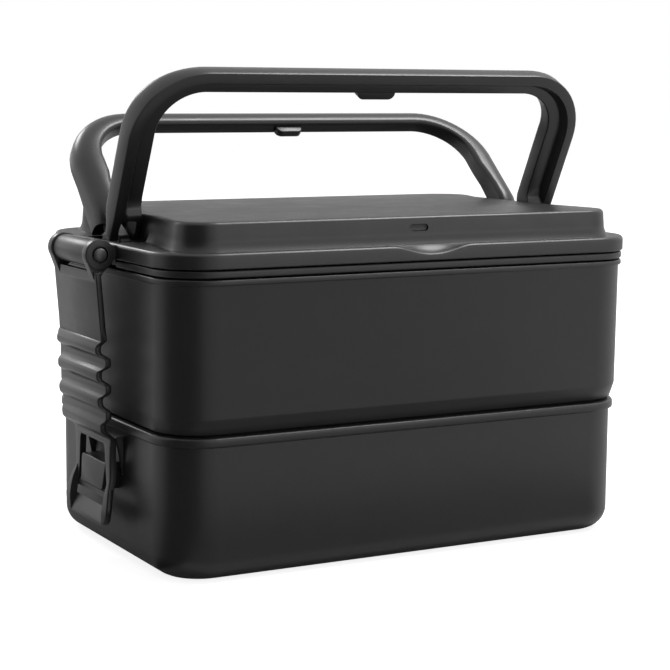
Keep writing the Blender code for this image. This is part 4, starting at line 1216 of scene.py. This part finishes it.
@dataclass
class SwingHandle(SubAssembly):
    """One swing handle, modelled upright round its hinge line and then leaned."""

    node: str = "handle_front"
    toward: int = -1
    lean: float = 26.7
    reach: float = 69.7
    half_span: float = 94.3
    face: float = 2.5
    foot_width: float = 11.2
    bottom: float = 0.0
    root_depth: float = 7.0
    root: Pair = (4.0, 13.0)
    flare: float = 0.0
    flare_range: Pair = (14.0, 40.0)
    widening: float = 0.0
    widen_range: Pair = (27.0, 38.0)
    bend: float = 26.7
    bend_steps: int = 15
    depth: float = 10.6
    bar_depth: float = 10.4
    bar_height: float = 9.2
    leg_round: float = 3.0
    bar_round: float = 7.0
    band: float = 4.0
    recess: float = 3.4
    cove: tuple[Pair, ...] = ((0.55, 0.3), (1.15, 0.8), (1.9, 1.0))
    nub_x: float = 2.4
    nub_width: float = 15.6
    nub_inset: Pair = (2.3, 0.5)
    nub_drop: float = 3.0
    nub_height: float = 4.4
    heights: tuple[float, ...] = (2.0, 4.0, 6.2, 8.5, 10.7)
    recess_start: tuple[Pair, ...] = (
        (12.6, 0.1),
        (13.5, 0.34),
        (14.4, 0.6),
        (15.4, 0.84),
        (19.0, 1.0),
    )
    heights_above: tuple[float, ...] = (25.0, 31.0, 37.0)
    hinge: Point = (0.0, 2.0, 112.0)
    hub: float = 3.9
    bore: float = 1.8
    gap_outer: tuple[Pair, ...] = (
        (-2.9, -5.0),
        (-2.9, 7.6),
        (-3.15, 9.6),
        (-3.7, 10.6),
        (-4.6, 10.9),
    )
    gap_inner: tuple[Pair, ...] = ((3.0, 10.9), (2.35, 10.65), (2.1, 10.0), (2.1, -5.0))

    @property
    def knee(self) -> float:
        """Return the height above the pins where the leg starts to bend."""
        return self.reach - self.bend

    def point(self, u: float, v: float, w: float) -> Point:
        """Turn handle sizes (along X, up the leg, outwards) into an upright point."""
        return (u, self.toward * w, v)

    def leg_face(self, height: float) -> float:
        """Return how far out the leg's face stands at a height above the pins."""
        return self.face + self.flare * (1 - smoothstep(*self.flare_range, height))

    def leg_back(self, height: float) -> float:
        """Return how far in the leg's back stands at a height above the pins."""
        deeper = (self.depth - self.root_depth) * smoothstep(*self.root, height)
        return self.face - self.root_depth - deeper

    def leg_width(self, height: float) -> float:
        """Return the leg's width at a height above the pins."""
        return self.foot_width + self.widening * smoothstep(*self.widen_range, height)

    def stations(self) -> list[float]:
        """Return the heights above the pins at which the leg's section is set."""
        return [*self.heights, *(height for height, _ in self.recess_start), *self.heights_above]

    def section(self) -> Solid:
        """Return the foot's section as a flat outline, rounded on its inward side.

        Returns:
            The outline, in edit mode and filled.
        """
        width = self.leg_width(self.bottom)
        back, face = self.leg_back(self.bottom), self.leg_face(self.bottom)
        outline = [(0.0, face - 0.75), (0.22, face - 0.22), (0.75, face), (self.band, face)]
        outline += [(self.band + n, face) for n, _ in self.cove] + [(width, face)]
        outline += [(width - a, back + b) for a, b in reversed(quarter(2.0, 5))]
        outline += [(a, back + b) for a, b in quarter(self.leg_round, 7)]
        solid = Solid(self.node + "_shell")
        return solid.trace([self.point(n - self.half_span, self.bottom, w) for n, w in outline])

    def nudge(self, solid: Solid, end: End, test: Callable[[float, float], bool]) -> int:
        """Select those points of the open end whose place across and outwards passes a test.

        Args:
            solid: The half handle.
            end: The open end's outer point, its direction across and its direction onwards.
            test: Takes the place across from the outer point, and outwards.

        Returns:
            How many points were selected.
        """
        outer, across, run = end

        def chosen(place: Vector, normal: Vector) -> bool:
            """Tell whether a point lies in the open end and passes the test."""
            away = place - outer
            return abs(away.dot(run)) < 0.03 and test(away.dot(across), place.y * self.toward)

        return solid.pick(Part.VERTS, chosen)

    def reopen(self, solid: Solid, end: End) -> None:
        """Select the open end's face again.

        Args:
            solid: The half handle.
            end: The open end's outer point, its direction across and its direction onwards.
        """
        outer, _, run = end

        def chosen(place: Vector, normal: Vector) -> bool:
            """Tell whether a face is the open end's."""
            return abs((place - outer).dot(run)) < 0.03 and abs(normal.dot(run)) > 0.9

        solid.pick(Part.FACES, chosen)

    def fit(self, solid: Solid, end: End, old: Point, new: Point) -> None:
        """Carry the open end's face, back and width from the last station's to the next one's.

        Args:
            solid: The half handle.
            end: The open end's outer point, its direction across and its direction onwards.
            old: Its face, back and width so far.
            new: What they become.
        """
        across = end[1]
        if abs(new[0] - old[0]) > 1e-5:
            self.nudge(solid, end, lambda n, w: w > old[0] - 1.5)
            solid.shift(self.point(0.0, 0.0, new[0] - old[0]))
        if abs(new[1] - old[1]) > 1e-5:
            self.nudge(solid, end, lambda n, w: w < old[0] - 1.5)
            solid.shift(self.point(0.0, 0.0, new[1] - old[1]))
        if abs(new[2] - old[2]) > 1e-5:
            self.nudge(solid, end, lambda n, w: n > old[2] - 2.05)
            solid.shift(tuple(across * (new[2] - old[2])))

    def half(self) -> Solid:
        """Return half the handle, from the left foot up the leg and round to the middle.

        Returns:
            The half, in edit mode and open at the middle.
        """
        solid = self.section()
        run, across = Vector((0.0, 0.0, 1.0)), Vector((1.0, 0.0, 0.0))
        low = self.bottom
        state = (self.leg_face(low), self.leg_back(low), self.leg_width(low))
        for height in [h for h in self.stations() if h > low + 0.5] + [self.knee]:
            solid.extrude((0.0, 0.0, height - low))
            end = (Vector((-self.half_span, 0.0, height)), across, run)
            wanted = (self.leg_face(height), self.leg_back(height), self.leg_width(height))
            self.fit(solid, end, state, wanted)
            self.reopen(solid, end)
            low, state = height, wanted
        centre = Vector((self.bend - self.half_span, 0.0, self.knee))
        corner = self.leg_round
        start = state
        for k in range(1, self.bend_steps + 1):
            share = k / self.bend_steps
            angle = math.radians(90 * share)
            solid.extrude((0.0, 0.0, 0.0))
            solid.turn(90 / self.bend_steps, "Y", tuple(centre))
            across = Vector((math.cos(angle), 0.0, -math.sin(angle)))
            run = Vector((math.sin(angle), 0.0, math.cos(angle)))
            end = (centre - across * self.bend, across, run)
            width = start[2] + (self.bar_height - start[2]) * share
            back = self.face - self.depth + (self.depth - self.bar_depth) * share
            wanted = (state[0], back, width)
            self.fit(solid, end, state, wanted)
            swell = smoothstep(0.3, 1.0, share)
            rounder = self.leg_round + (self.bar_round - self.leg_round) * swell
            if rounder != corner:
                self.nudge(solid, end, lambda n, w: n < corner + 0.02 and w < back + corner + 0.02)
                spot = (end[0].x, self.toward * back, end[0].z)
                solid.resize((rounder / corner,) * 3, spot)
                corner = rounder
            self.reopen(solid, end)
            state = wanted
        solid.extrude((self.half_span - self.bend, 0.0, 0.0))
        bpy.ops.mesh.delete(type="ONLY_FACE")
        return solid

    def across_of(self, place: Vector) -> float:
        """Return how far a point lies in from the handle's outer outline.

        Args:
            place: The point, in millimetres.

        Returns:
            The distance in.
        """
        u, v = -abs(place.x), place.z
        centre = (self.bend - self.half_span, self.knee)
        if v < self.knee:
            return u + self.half_span
        if u < centre[0]:
            return self.bend - math.hypot(u - centre[0], v - centre[1])
        return self.reach - v

    def sink_web(self, solid: Solid) -> None:
        """Sink the web behind the outer band, with a soft cove and a rounded start.

        Args:
            solid: The whole handle, in edit mode.
        """
        levels = [(self.band + n, share) for n, share in self.cove] + [(self.foot_width, 1.0)]
        above = self.recess_start[-1][0] + 0.5
        for height, reach in (*self.recess_start, (self.reach, 1.0)):
            for stop, share in levels:

                def chosen(place: Vector, normal: Vector) -> bool:
                    """Tell whether a face point belongs to this row and this level.

                    Args:
                        place: The point, in millimetres.
                        normal: Its direction, which doesn't count.

                    Returns:
                        Whether it does.
                    """
                    bar = height == self.reach
                    on_row = place.z > above if bar else abs(place.z - height) < 0.05
                    n = self.across_of(place)
                    inner = stop == self.foot_width
                    here = n > self.band + 2.1 if inner else abs(n - stop) < 0.08
                    outside = place.y * self.toward > self.leg_face(place.z) - 0.05
                    return on_row and here and outside

                solid.pick(Part.VERTS, chosen)
                solid.shift(self.point(0.0, 0.0, -self.recess * share * reach))
        edge = self.recess + 0.2
        solid.round_edges(
            lambda place, run: (
                place.y * self.toward > self.leg_face(place.z) - edge
                and self.across_of(place) > self.band + 3.4
                and abs(run.y) < 0.9
                and self.on_inner_edge(place)
            ),
            0.5,
        )

    def on_inner_edge(self, place: Vector) -> bool:
        """Tell whether a point lies on the web's inner edge rather than on a cross line.

        Args:
            place: The point, in millimetres.

        Returns:
            Whether it does.
        """
        n, width = self.across_of(place), self.leg_width(place.z)
        if place.z < self.knee:
            return abs(n - width) < 0.3 and place.z > self.bottom + 0.5
        share = 1.0
        inward = self.bend - self.half_span + abs(place.x)
        if inward > 0:
            turned = math.degrees(math.atan2(place.z - self.knee, inward))
            share = min(max(turned / 90, 0.0), 1.0)
        leg = self.leg_width(self.knee)
        return abs(n - leg - (self.bar_height - leg) * share) < 0.3

    def grip_nub(self) -> Solid:
        """Return the small nub under the bar, its ends rounded.

        Returns:
            The nub, in edit mode.
        """
        low = self.reach - self.bar_height - self.nub_drop
        near = self.face - self.bar_depth + self.nub_inset[0]
        far = self.face - self.recess - self.nub_inset[1]
        y_low, y_high = sorted((self.toward * near, self.toward * far))
        half = self.nub_width / 2
        start = (self.nub_x - half, y_low, low)
        end = (self.nub_x + half, y_high, low + self.nub_height)
        solid = Solid("nub").cube(start, end)
        solid.round_edges(lambda place, run: abs(run.y) > 0.9 and place.z < low + 0.1, 2.5, 7)
        solid.round_rims(lambda place, normal: abs(normal.y) > 0.9, 0.5)
        return solid

    def on_pins(self, name: str, low: float, high: float, radius: float) -> Solid:
        """Return a cylinder on the hinge line, at both ends of the box."""
        return Solid(name).cylinder((low, 0.0, 0.0), (high, 0.0, 0.0), radius, 56).mirror()

    def add_feet(self, solid: Solid) -> None:
        """Fork both feet: hubs, the gap between the ears, and the pin holes.

        Args:
            solid: The whole handle.
        """
        inner, outer = self.half_span - self.foot_width, self.half_span
        solid.combine(self.on_pins("hubs", inner, outer, self.hub), Cut.ON)
        gap = [(outer + across, height) for across, height in self.gap_outer]
        gap += [(inner + across, height) for across, height in self.gap_inner]
        arch = Solid("arches").trace([(u, -15.0, v) for u, v in gap])
        arch.extrude((0.0, 30.0, 0.0))
        solid.combine(arch.mirror(), Cut.AWAY)
        solid.combine(self.on_pins("bores", inner - 1.0, outer + 1.0, self.bore), Cut.AWAY)

    def build(self, finish: MouldedPlastic) -> None:
        """Build and dress the handle.

        Args:
            finish: Its plastic.
        """
        solid = self.half()
        solid.mirror()
        self.sink_web(solid)
        solid.combine(self.grip_nub(), Cut.ON)
        self.add_feet(solid)
        solid.tilt(-self.toward * self.lean, self.hinge)
        piece = solid.finish(finish.material())
        self.join_frame(piece, self.node, self.node + "_plastic")


@dataclass
class RearHandle(SwingHandle):
    """Rear handle: each foot is one tongue that turns inside the front handle's fork."""

    notch: Point = (4.3, 9.3, 11.1)
    tongue: float = 3.8
    tongue_out: float = 89.9
    tongue_top: float = 16.0

    def add_feet(self, solid: Solid) -> None:
        """Hollow the leg's foot, and add both tongues with their pin holes.

        Args:
            solid: The whole handle.
        """
        up, out, radius = self.notch
        reach = self.half_span + 1.0
        start, end = self.point(-reach, up, out), self.point(reach, up, out)
        solid.combine(Solid("notch").cylinder(start, end, radius, 96), Cut.AWAY)
        low, high = self.tongue_out - self.tongue, self.tongue_out
        near = self.face - self.root_depth - 1.2
        flank = self.hub * 0.96
        outline = [(-flank, 0.0), (near, self.tongue_top)]
        outline += [(near + self.root_depth * 0.8, self.tongue_top), (flank, 0.0)]
        tongue = Solid("tongues").trace([self.point(low, v, w) for w, v in outline])
        tongue.extrude((self.tongue, 0.0, 0.0))
        hub = Solid("hubs").cylinder((low, 0.0, 0.0), (high, 0.0, 0.0), self.hub, 56)
        tongue.combine(hub, Cut.ON)
        solid.combine(tongue.mirror(), Cut.ON)
        solid.combine(self.on_pins("bores", low - 1.0, high + 1.0, self.bore), Cut.AWAY)


@dataclass
class SideLatch(SubAssembly):
    """One swinging latch: hinge rings, flat plate, ribbed grip, window frame and finger tab."""

    axis_x: float = 104.7
    axis_z: float = 110.6
    thickness: float = 2.2
    half_width: float = 20.6
    crest_half: float = 19.2
    valley_half: float = 21.4
    plate_out: Pair = (12.2, 10.3)
    plate_drop: Pair = (6.0, 30.0)
    plate_steps: int = 6
    shoulder: tuple[Pair, ...] = ((0.85, 2.2), (0.42, 1.5), (0.1, 0.8), (0.0, 0.3))
    crest_out: tuple[float, ...] = (12.0, 11.7, 11.35, 10.3)
    crest_drop: float = 33.1
    crest_pitch: float = 9.35
    crest_steps: int = 14
    valley_out: float = 9.0
    edge_levels: int = 8
    frame_out: float = 6.0
    frame_half: float = 16.8
    frame_top: Point = (17.6, 43.6, 45.0)
    frame_sections: tuple[Point, ...] = (
        (0.0, 17.2, 42.3),
        (0.0, 16.8, 37.6),
        (0.0, 16.8, 30.6),
        (0.5, 17.3, 29.0),
        (1.5, 18.4, 26.2),
        (2.3, 19.5, 22.8),
        (2.9, 20.2, 19.6),
        (3.0, 19.8, 17.6),
        (2.9, 18.9, 15.9),
        (2.9, 17.4, 14.5),
        (2.7, 15.4, 13.6),
        (2.3, 13.2, 13.0),
        (1.5, 11.0, 12.7),
    )
    window_z: Pair = (25.0, 43.1)
    window_half: Pair = (13.8, 12.0)
    window_corner: float = 2.6
    scoop_line: tuple[Pair, ...] = (
        (0.0, 31.2),
        (0.0, 25.0),
        (-0.12, 23.4),
        (-0.1, 22.0),
        (0.1, 20.8),
        (0.55, 19.6),
        (1.2, 18.2),
        (1.85, 16.6),
        (2.4, 15.0),
        (2.75, 13.6),
        (3.3, 12.2),
        (7.0, 12.2),
        (7.0, 31.2),
    )
    scoop_half: Pair = (14.9, 18.178)
    ring_radius: float = 5.4
    ring_y: Pair = (15.0, 19.0)
    arm_top: tuple[Pair, ...] = ((5.2, -1.1), (-3.3, -4.1))
    arm_foot: tuple[Pair, ...] = ((-1.1, -6.2), (0.0, -8.1), (0.3, -9.1))
    bore: float = 1.8
    seat: float = 2.95
    seat_y: Pair = (-22.0, -17.5)

    def depth_at(self, z: float) -> float:
        """Return how deep the grip lies at a height: 0 on a crest, 1 in a valley."""
        turns = (self.axis_z - self.crest_drop - z) / self.crest_pitch
        return smoothstep(0.06, 0.94, (1 - math.cos(2 * math.pi * turns)) / 2)

    def surface(self) -> list[Pair]:
        """Return the strip's outer line, from the plate's top to the frame.

        Returns:
            Its points, each out from the box's end and up.
        """
        line = []
        for k in range(self.plate_steps + 1):
            share = k / self.plate_steps
            out, drop = (a + (b - a) * share for a, b in (self.plate_out, self.plate_drop))
            line.append((out, self.axis_z - drop))
        first = self.axis_z - self.crest_drop
        line.append((self.plate_out[1] + 0.3, line[-1][1] - 0.1))
        line += [(self.crest_out[0] - a, first + b) for a, b in self.shoulder]
        last = len(self.crest_out) - 1
        frame_z = self.frame_top[1] - 0.7
        behind = self.frame_out - 0.12
        for index, crest in enumerate(self.crest_out):
            crest_z = first - self.crest_pitch * index
            line.append((crest, crest_z))
            for k in range(1, self.crest_steps):
                share = k / self.crest_steps
                if index == last:
                    out = crest + (behind - crest) * smoothstep(0.08, 0.8, share)
                    line.append((out, crest_z + (frame_z - crest_z) * share))
                else:
                    straight = crest + (self.crest_out[index + 1] - crest) * share
                    z = crest_z - self.crest_pitch * share
                    line.append((straight + (self.valley_out - straight) * self.depth_at(z), z))
        line.append((behind, frame_z - 0.3))
        return line

    def spread(self, solid: Solid, side: int, test: Callable[[float], bool], half: float) -> None:
        """Move one side's edge to a new half width, at the heights that pass a test.

        Args:
            solid: The strip, in edit mode.
            side: 1 for the side towards the back, -1 for the front.
            test: Takes a height in millimetres.
            half: The half width that those points get.
        """
        rim = self.half_width - 0.8
        if solid.pick(Part.VERTS, lambda place, normal: place.y * side > rim and test(place.z)):
            solid.shift((0.0, side * (half - self.half_width), 0.0))

    def strip(self) -> Solid:
        """Return the plate and the ribbed grip: a traced ribbon whose edge waves in and out.

        Returns:
            The strip, in edit mode.
        """
        outer = [(self.half_x + out, -self.half_width, z) for out, z in self.surface()]
        inner = [(x - self.thickness, y, z) for x, y, z in outer]
        solid = Solid("latch_shell").trace(outer + inner[::-1])
        solid.extrude((0.0, 2 * self.half_width, 0.0))
        solid.round_rims(lambda place, normal: abs(normal.y) > 0.9, 0.5)
        solid.pick(Part.FACES, lambda place, normal: abs(normal.y) > 0.99)
        bpy.ops.mesh.quads_convert_to_tris(quad_method="BEAUTY", ngon_method="BEAUTY")
        first = self.axis_z - self.crest_drop
        high = first + 0.4 * self.crest_pitch
        low = first - (len(self.crest_out) - 1) * self.crest_pitch - 0.1
        levels = self.edge_levels
        for side in (-1, 1):
            for level in range(levels):
                share = (level + 0.5) / levels

                def in_grip(z: float) -> bool:
                    """Tell whether a height lies at this depth of the grip."""
                    return low < z < high and int(min(0.999, self.depth_at(z)) * levels) == level

                wave = self.crest_half + (self.valley_half - self.crest_half) * share
                self.spread(solid, side, in_grip, wave)
            for level in range(levels):
                top = low - level
                share = smoothstep(0.0, 0.8, (level + 0.5) / levels)
                narrow = self.crest_half + (self.frame_half + 0.6 - self.crest_half) * share
                self.spread(solid, side, lambda z, top=top: top - 1.0 < z <= top, narrow)
        solid.mend()
        return solid

    def frame_block(self) -> Solid:
        """Return the window's frame with the scooped tab below it.

        Returns:
            The frame, in object mode.
        """
        face = self.half_x + self.frame_out
        half, low, high = self.frame_top
        start = (face - self.thickness - 0.2, -half, low)
        solid = Solid("latch_frame").cube(start, (face, half, high))
        solid.cap(low, False)
        last = (0.0, half, low)
        for out, half, z in self.frame_sections:
            solid.extrude((out - last[0], 0.0, z - last[2]))
            solid.resize((1.0, half / last[1], 1.0), (face, 0.0, z))
            last = (out, half, z)
        solid.round_edges(
            lambda place, run: (
                abs(run.y) < 0.93 and abs(place.y) > 12.5 and place.x > face - 0.6
            ),
            0.8,
            4,
        )
        solid.combine(self.scoop(), Cut.AWAY)
        (low, high), (bottom, top) = self.window_z, self.window_half
        hole = [(-bottom, low), (-top, high - self.window_corner)]
        hole += [(-top + a, high - b) for a, b in quarter(self.window_corner, 6)[-2::-1]]
        hole += [(-y, z) for y, z in reversed(hole)]
        cutter = Solid("window").trace([(face - 7.0, y, z) for y, z in hole])
        cutter.extrude((14.0, 0.0, 0.0))
        return solid.combine(cutter, Cut.AWAY)

    def scoop(self) -> Solid:
        """Return the hollow that a fingertip pulls, wider in front and between two cheeks.

        Returns:
            The cutter, in edit mode.
        """
        face = self.half_x + self.frame_out
        near, far = self.scoop_half
        solid = Solid("scoop").trace([(face + out, -near, z) for out, z in self.scoop_line])
        solid.extrude((0.0, 2 * near, 0.0))
        solid.pick(Part.VERTS, lambda place, normal: place.x > face + 6.0)
        solid.resize((1.0, far / near, 1.0), (face, 0.0, self.window_z[0]))
        return solid

    def rings_and_arms(self) -> Solid:
        """Return both hinge rings, each on its narrow arm.

        Returns:
            The rings, in edit mode.
        """
        x, z = self.axis_x, self.axis_z
        near, far = self.ring_y
        solid = Solid("rings").cylinder((x, near, z), (x, far, z), self.ring_radius, 72)
        solid.round_rims(lambda place, normal: abs(normal.y) > 0.9, 0.45)
        out = self.half_x + self.plate_out[0] - 0.3
        inside = out - self.thickness
        outline = [(x + a, z + b) for a, b in self.arm_top]
        outline += [(inside + a, z + b) for a, b in self.arm_foot]
        outline.append((out, z + self.arm_foot[-1][1]))
        arm = Solid("arm").trace([(a, near + 0.15, b) for a, b in outline])
        arm.extrude((0.0, far - near - 0.3, 0.0))
        solid.combine(arm, Cut.ON)
        return solid.mirror(False, True)

    def build_pair(self, finish: MouldedPlastic) -> None:
        """Build the right latch, copy it to the left end, and dress both.

        Args:
            finish: Their plastic.
        """
        solid = self.strip()
        solid.combine(self.frame_block(), Cut.ON).combine(self.rings_and_arms(), Cut.ON)
        x, z = self.axis_x, self.axis_z
        start, floor = self.seat_y
        bore = Solid("bore").cylinder((x, start, z), (x, -start, z), self.bore, 48)
        seat = Solid("seat").cylinder((x, start, z), (x, floor, z), self.seat, 64)
        solid.combine(bore, Cut.AWAY).combine(seat, Cut.AWAY)
        solid.mend()
        twin = solid.mirrored("latch_left_shell")
        solid.item.name = "latch_right_shell"
        for word, piece in (("right", solid), ("left", twin)):
            self.body = "latch_" + word
            slot = word + "_latch_plastic"
            self.join_frame(piece.finish(finish.material(), 46.0), self.body, slot)


@dataclass
class Pins(SubAssembly):
    """The four steel pins: two headed ones in the latches and two plain ones in the handles."""

    latch: Pair = (104.7, 110.6)
    radius: float = 1.5
    head: float = 2.35
    head_seat: float = -17.8
    head_face: float = -19.0
    dome: float = 0.8
    dome_turns: tuple[int, ...] = (18, 36, 52, 66, 78)
    tail: float = 18.7
    handle_x: Pair = (81.2, 95.9)
    hinge: Pair = (2.0, 112.0)

    def headed(self) -> Solid:
        """Return the right latch's pin, its domed head swelled from the shaft's end.

        Returns:
            The pin, in edit mode.
        """
        x, z = self.latch
        start, end = (x, self.head_seat, z), (x, self.tail, z)
        solid = Solid("latch_pin_right_shell").cylinder(start, end, self.radius, 48)
        solid.round_rims(lambda place, normal: normal.y > 0.9, 0.3, 2)
        solid.pick(Part.FACES, lambda place, normal: normal.y < -0.9)
        solid.extrude((0.0, 0.0, 0.0))
        solid.resize((self.head / self.radius,) * 3, start)
        solid.extrude((0.0, self.head_face - self.head_seat, 0.0))
        height, size = 0.0, self.head
        for angle in map(math.radians, self.dome_turns):
            rise, radius = self.dome * math.sin(angle), self.head * math.cos(angle)
            solid.extrude((0.0, height - rise, 0.0))
            solid.resize((radius / size,) * 3, (x, self.head_face - rise, z))
            height, size = rise, radius
        return solid

    def plain(self) -> Solid:
        """Return the right handle pin, its ends chamfered.

        Returns:
            The pin, in edit mode.
        """
        (low, high), (y, z) = self.handle_x, self.hinge
        solid = Solid("handle_pin_right_shell").cylinder((low, y, z), (high, y, z), self.radius, 48)
        solid.round_rims(lambda place, normal: abs(normal.x) > 0.9, 0.35, 2)
        return solid

    def build(self, bright: DrawnSteel, dark: DrawnSteel) -> None:
        """Build the pins of the right end, copy them to the left, and dress all four.

        Args:
            bright: The handle pins' steel.
            dark: The latch pins' steel.
        """
        pairs = (("latch", self.headed(), dark), ("handle", self.plain(), bright))
        for kind, solid, finish in pairs:
            solid.mend()
            twin = solid.mirrored(kind + "_pin_left_shell")
            for word, piece in (("right", solid), ("left", twin)):
                node = kind + "_pin_" + word
                slot = word + "_" + kind + "_steel"
                self.join_frame(piece.finish(finish.material()), node, slot)


def dress_seal(node: str, finish: Silicone) -> None:
    """Give a carried-over CAD seal its finish.

    Args:
        node: The seal's CAD node.
        finish: Its silicone.
    """
    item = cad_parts[node]
    item.data.materials.clear()
    item.data.materials.append(finish.material())
    LOG.info("%s: CAD solid kept, in %s", node, finish.name)


@dataclass(frozen=True)
class Lamp:
    """One soft rectangular lamp that points at the box.

    Its azimuth runs from the front towards the right and its height above the box, in degrees.
    Its size is in metres and its power in watts.
    """

    name: str
    azimuth: float
    height: float
    size: Pair
    power: float

    def hang(self) -> None:
        """Add the lamp to the scene."""
        around, lift = math.radians(self.azimuth), math.radians(self.height)
        level = math.cos(lift)
        away = Vector((math.sin(around) * level, -math.cos(around) * level, math.sin(lift)))
        data = bpy.data.lights.new(self.name, "AREA")
        data.shape = "RECTANGLE"
        data.size, data.size_y = self.size
        data.energy = self.power
        item = bpy.data.objects.new(self.name, data)
        bpy.context.scene.collection.objects.link(item)
        item.location = away * LAMP_DISTANCE + Vector(LAMP_AIM)
        item.rotation_euler = (-away).to_track_quat("-Z", "Y").to_euler()


@dataclass(frozen=True)
class Card:
    """One card out of the picture, which shows only in the plastic's reflections.

    Its azimuth runs from the front towards the right. Its place is its distance from the box
    and its height. Its turn is its tilt from lying flat and its turn about the upright. Angles
    are in degrees, lengths in metres.
    """

    name: str
    azimuth: float
    place: Pair
    turn: Pair
    size: Pair
    grey: float = 0.01

    def stand(self) -> None:
        """Add the card to the scene."""
        around = math.radians(self.azimuth)
        away, high = self.place
        place = (math.sin(around) * away, -math.cos(around) * away, high)
        tilt, swing = (math.radians(angle) for angle in self.turn)
        turn = (tilt, 0.0, around + swing)
        bpy.ops.object.select_all(action="DESELECT")
        bpy.ops.mesh.primitive_plane_add(size=1.0, location=place, rotation=turn)
        item = bpy.context.object
        item.name = self.name
        item.scale = (*self.size, 1.0)
        bpy.ops.object.transform_apply(location=True, rotation=True, scale=True)
        item.visible_camera = False
        item.visible_shadow = False
        item.visible_diffuse = False
        graph = Graph(self.name)
        graph.drive("Base Color", (self.grey, self.grey, self.grey, 1.0))
        graph.drive("Roughness", 1.0)
        item.data.materials.append(graph.material)


@dataclass
class Studio:
    """Pale floor, white surround, soft lamps and the camera of the photograph."""

    yaw: float = 28.79
    pitch: float = 7.85
    roll: float = 0.467
    lens: float = 98.915
    distance: float = 707.2
    aim: Pair = (-1.41, 74.18)
    fill: float = 0.31
    floor_grey: float = 0.74
    floor_glow: float = 0.84
    lamps: tuple[Lamp, ...] = (
        Lamp("front_right", 30.0, 9.0, (1.1, 0.5), 1.6),
        Lamp("back_left", -168.0, 29.0, (0.4, 0.3), 4.0),
        Lamp("overhead", 74.0, 60.0, (0.6, 0.5), 16.0),
    )
    cards: tuple[Card, ...] = (
        Card("left_card", -58.0, (0.62, 0.35), (90.0, 0.0), (0.96, 0.7)),
        Card("left_mat", -60.3, (0.488, 0.001), (0.0, 47.0), (0.55, 0.55)),
        # Painted shade: a grey mat seen only in reflections, standing in for the floor's shade just
        # in front of the box in the lower front faces.
        Card("front_shade_mat", 0.0, (0.115, 0.0005), (0.0, 0.0), (0.24, 0.09), 0.2),
        Card("back_card", 151.0, (0.9, 0.3), (90.0, 0.0), (0.9, 0.6), 0.8),
    )

    def camera(self) -> None:
        """Place the camera that took the photograph."""
        yaw, pitch, roll = (math.radians(a) for a in (self.yaw, self.pitch, self.roll))
        level = math.cos(pitch)
        ahead = Vector((math.sin(yaw) * level, math.cos(yaw) * level, -math.sin(pitch)))
        right = Vector((math.cos(yaw), -math.sin(yaw), 0.0))
        up = right.cross(ahead)
        right, up = (
            math.cos(roll) * right + math.sin(roll) * up,
            math.cos(roll) * up - math.sin(roll) * right,
        )
        data = bpy.data.cameras.new("camera")
        data.lens = self.lens
        data.sensor_width = 36.0
        data.clip_end = 50.0
        item = bpy.data.objects.new("camera", data)
        bpy.context.scene.collection.objects.link(item)
        turn = Matrix((right, up, -ahead)).transposed().to_4x4()
        place = Vector((self.aim[0], 0.0, self.aim[1])) * MM - ahead * self.distance * MM
        item.matrix_world = Matrix.Translation(place) @ turn
        bpy.context.scene.camera = item

    def surround(self) -> None:
        """Make the world: white where it is seen, dim where it lights."""
        world = Surroundings("surround")
        seen = world.node("ShaderNodeLightPath", output="Is Camera Ray")
        for other in ("Is Glossy Ray", "Is Transmission Ray"):
            ray = world.node("ShaderNodeLightPath", output=other)
            seen = world.node("ShaderNodeMath", {"operation": "MAXIMUM"}, {0: seen, 1: ray})
        world.drive("Color", (1.0, 1.0, 1.0, 1.0))
        world.drive("Strength", seen * (1.0 - self.fill) + self.fill)

    def floor(self) -> None:
        """Lay the pale floor that the box stands on."""
        bpy.ops.object.select_all(action="DESELECT")
        bpy.ops.mesh.primitive_plane_add(size=6.0, location=(0.0, 0.0, -0.0002))
        item = bpy.context.object
        item.name = "floor"
        graph = Graph("pale_floor")
        path = graph.node("ShaderNodeLightPath", output="Is Camera Ray")
        grey = self.floor_grey
        graph.drive("Base Color", (grey, grey, grey, 1.0))
        graph.drive("Roughness", 0.9)
        graph.drive("Emission Strength", self.floor_glow)
        graph.drive("Emission Color", graph.blend(path, (0.0, 0.0, 0.0), (1.0, 1.0, 1.0)))
        item.data.materials.append(graph.material)

    def build(self) -> None:
        """Make the floor, the surround, the lamps, the cards and the camera."""
        self.camera()
        self.surround()
        self.floor()
        bpy.context.scene.view_settings.view_transform = "Standard"
        for lamp in self.lamps:
            lamp.hang()
        for card in self.cards:
            card.stand()


def main() -> None:
    """Build the studio and every sub-assembly."""
    logging.basicConfig(level=logging.INFO, format="%(message)s")
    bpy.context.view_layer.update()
    Studio().build()
    charcoal = (0.018, 0.0185, 0.0196)
    shell = MouldedPlastic("charcoal_shell", charcoal, 0.38)
    LowerTray().build(shell)
    UpperTray().build(shell)
    InnerLid().build(shell)
    OuterLid().build(shell)
    satin = MouldedPlastic("charcoal_satin", charcoal, 0.34, Grain.SATIN)
    SwingHandle(body="handle_front").build(satin)
    RearHandle(
        body="handle_rear",
        node="handle_rear",
        toward=1,
        lean=48.7,
        reach=72.2,
        half_span=92.5,
        face=8.3,
        foot_width=9.4,
        bottom=10.5,
        root=(8.0, 20.0),
        flare=2.6,
        widening=1.5,
        bend=29.0,
        depth=10.4,
        bar_depth=9.2,
        leg_round=6.5,
        bar_round=6.4,
        nub_x=4.0,
        nub_width=11.6,
    ).build(satin)
    SideLatch().build_pair(satin)
    bright = DrawnSteel("drawn_steel", (0.55, 0.55, 0.56))
    dark = DrawnSteel("dark_steel", (0.12, 0.12, 0.125), 0.4, 0.6)
    Pins().build(bright, dark)
    for node in ("tier_seal", "inner_lid_seal"):
        dress_seal(node, Silicone("seal_silicone"))


if __name__ == "__main__":
    main()
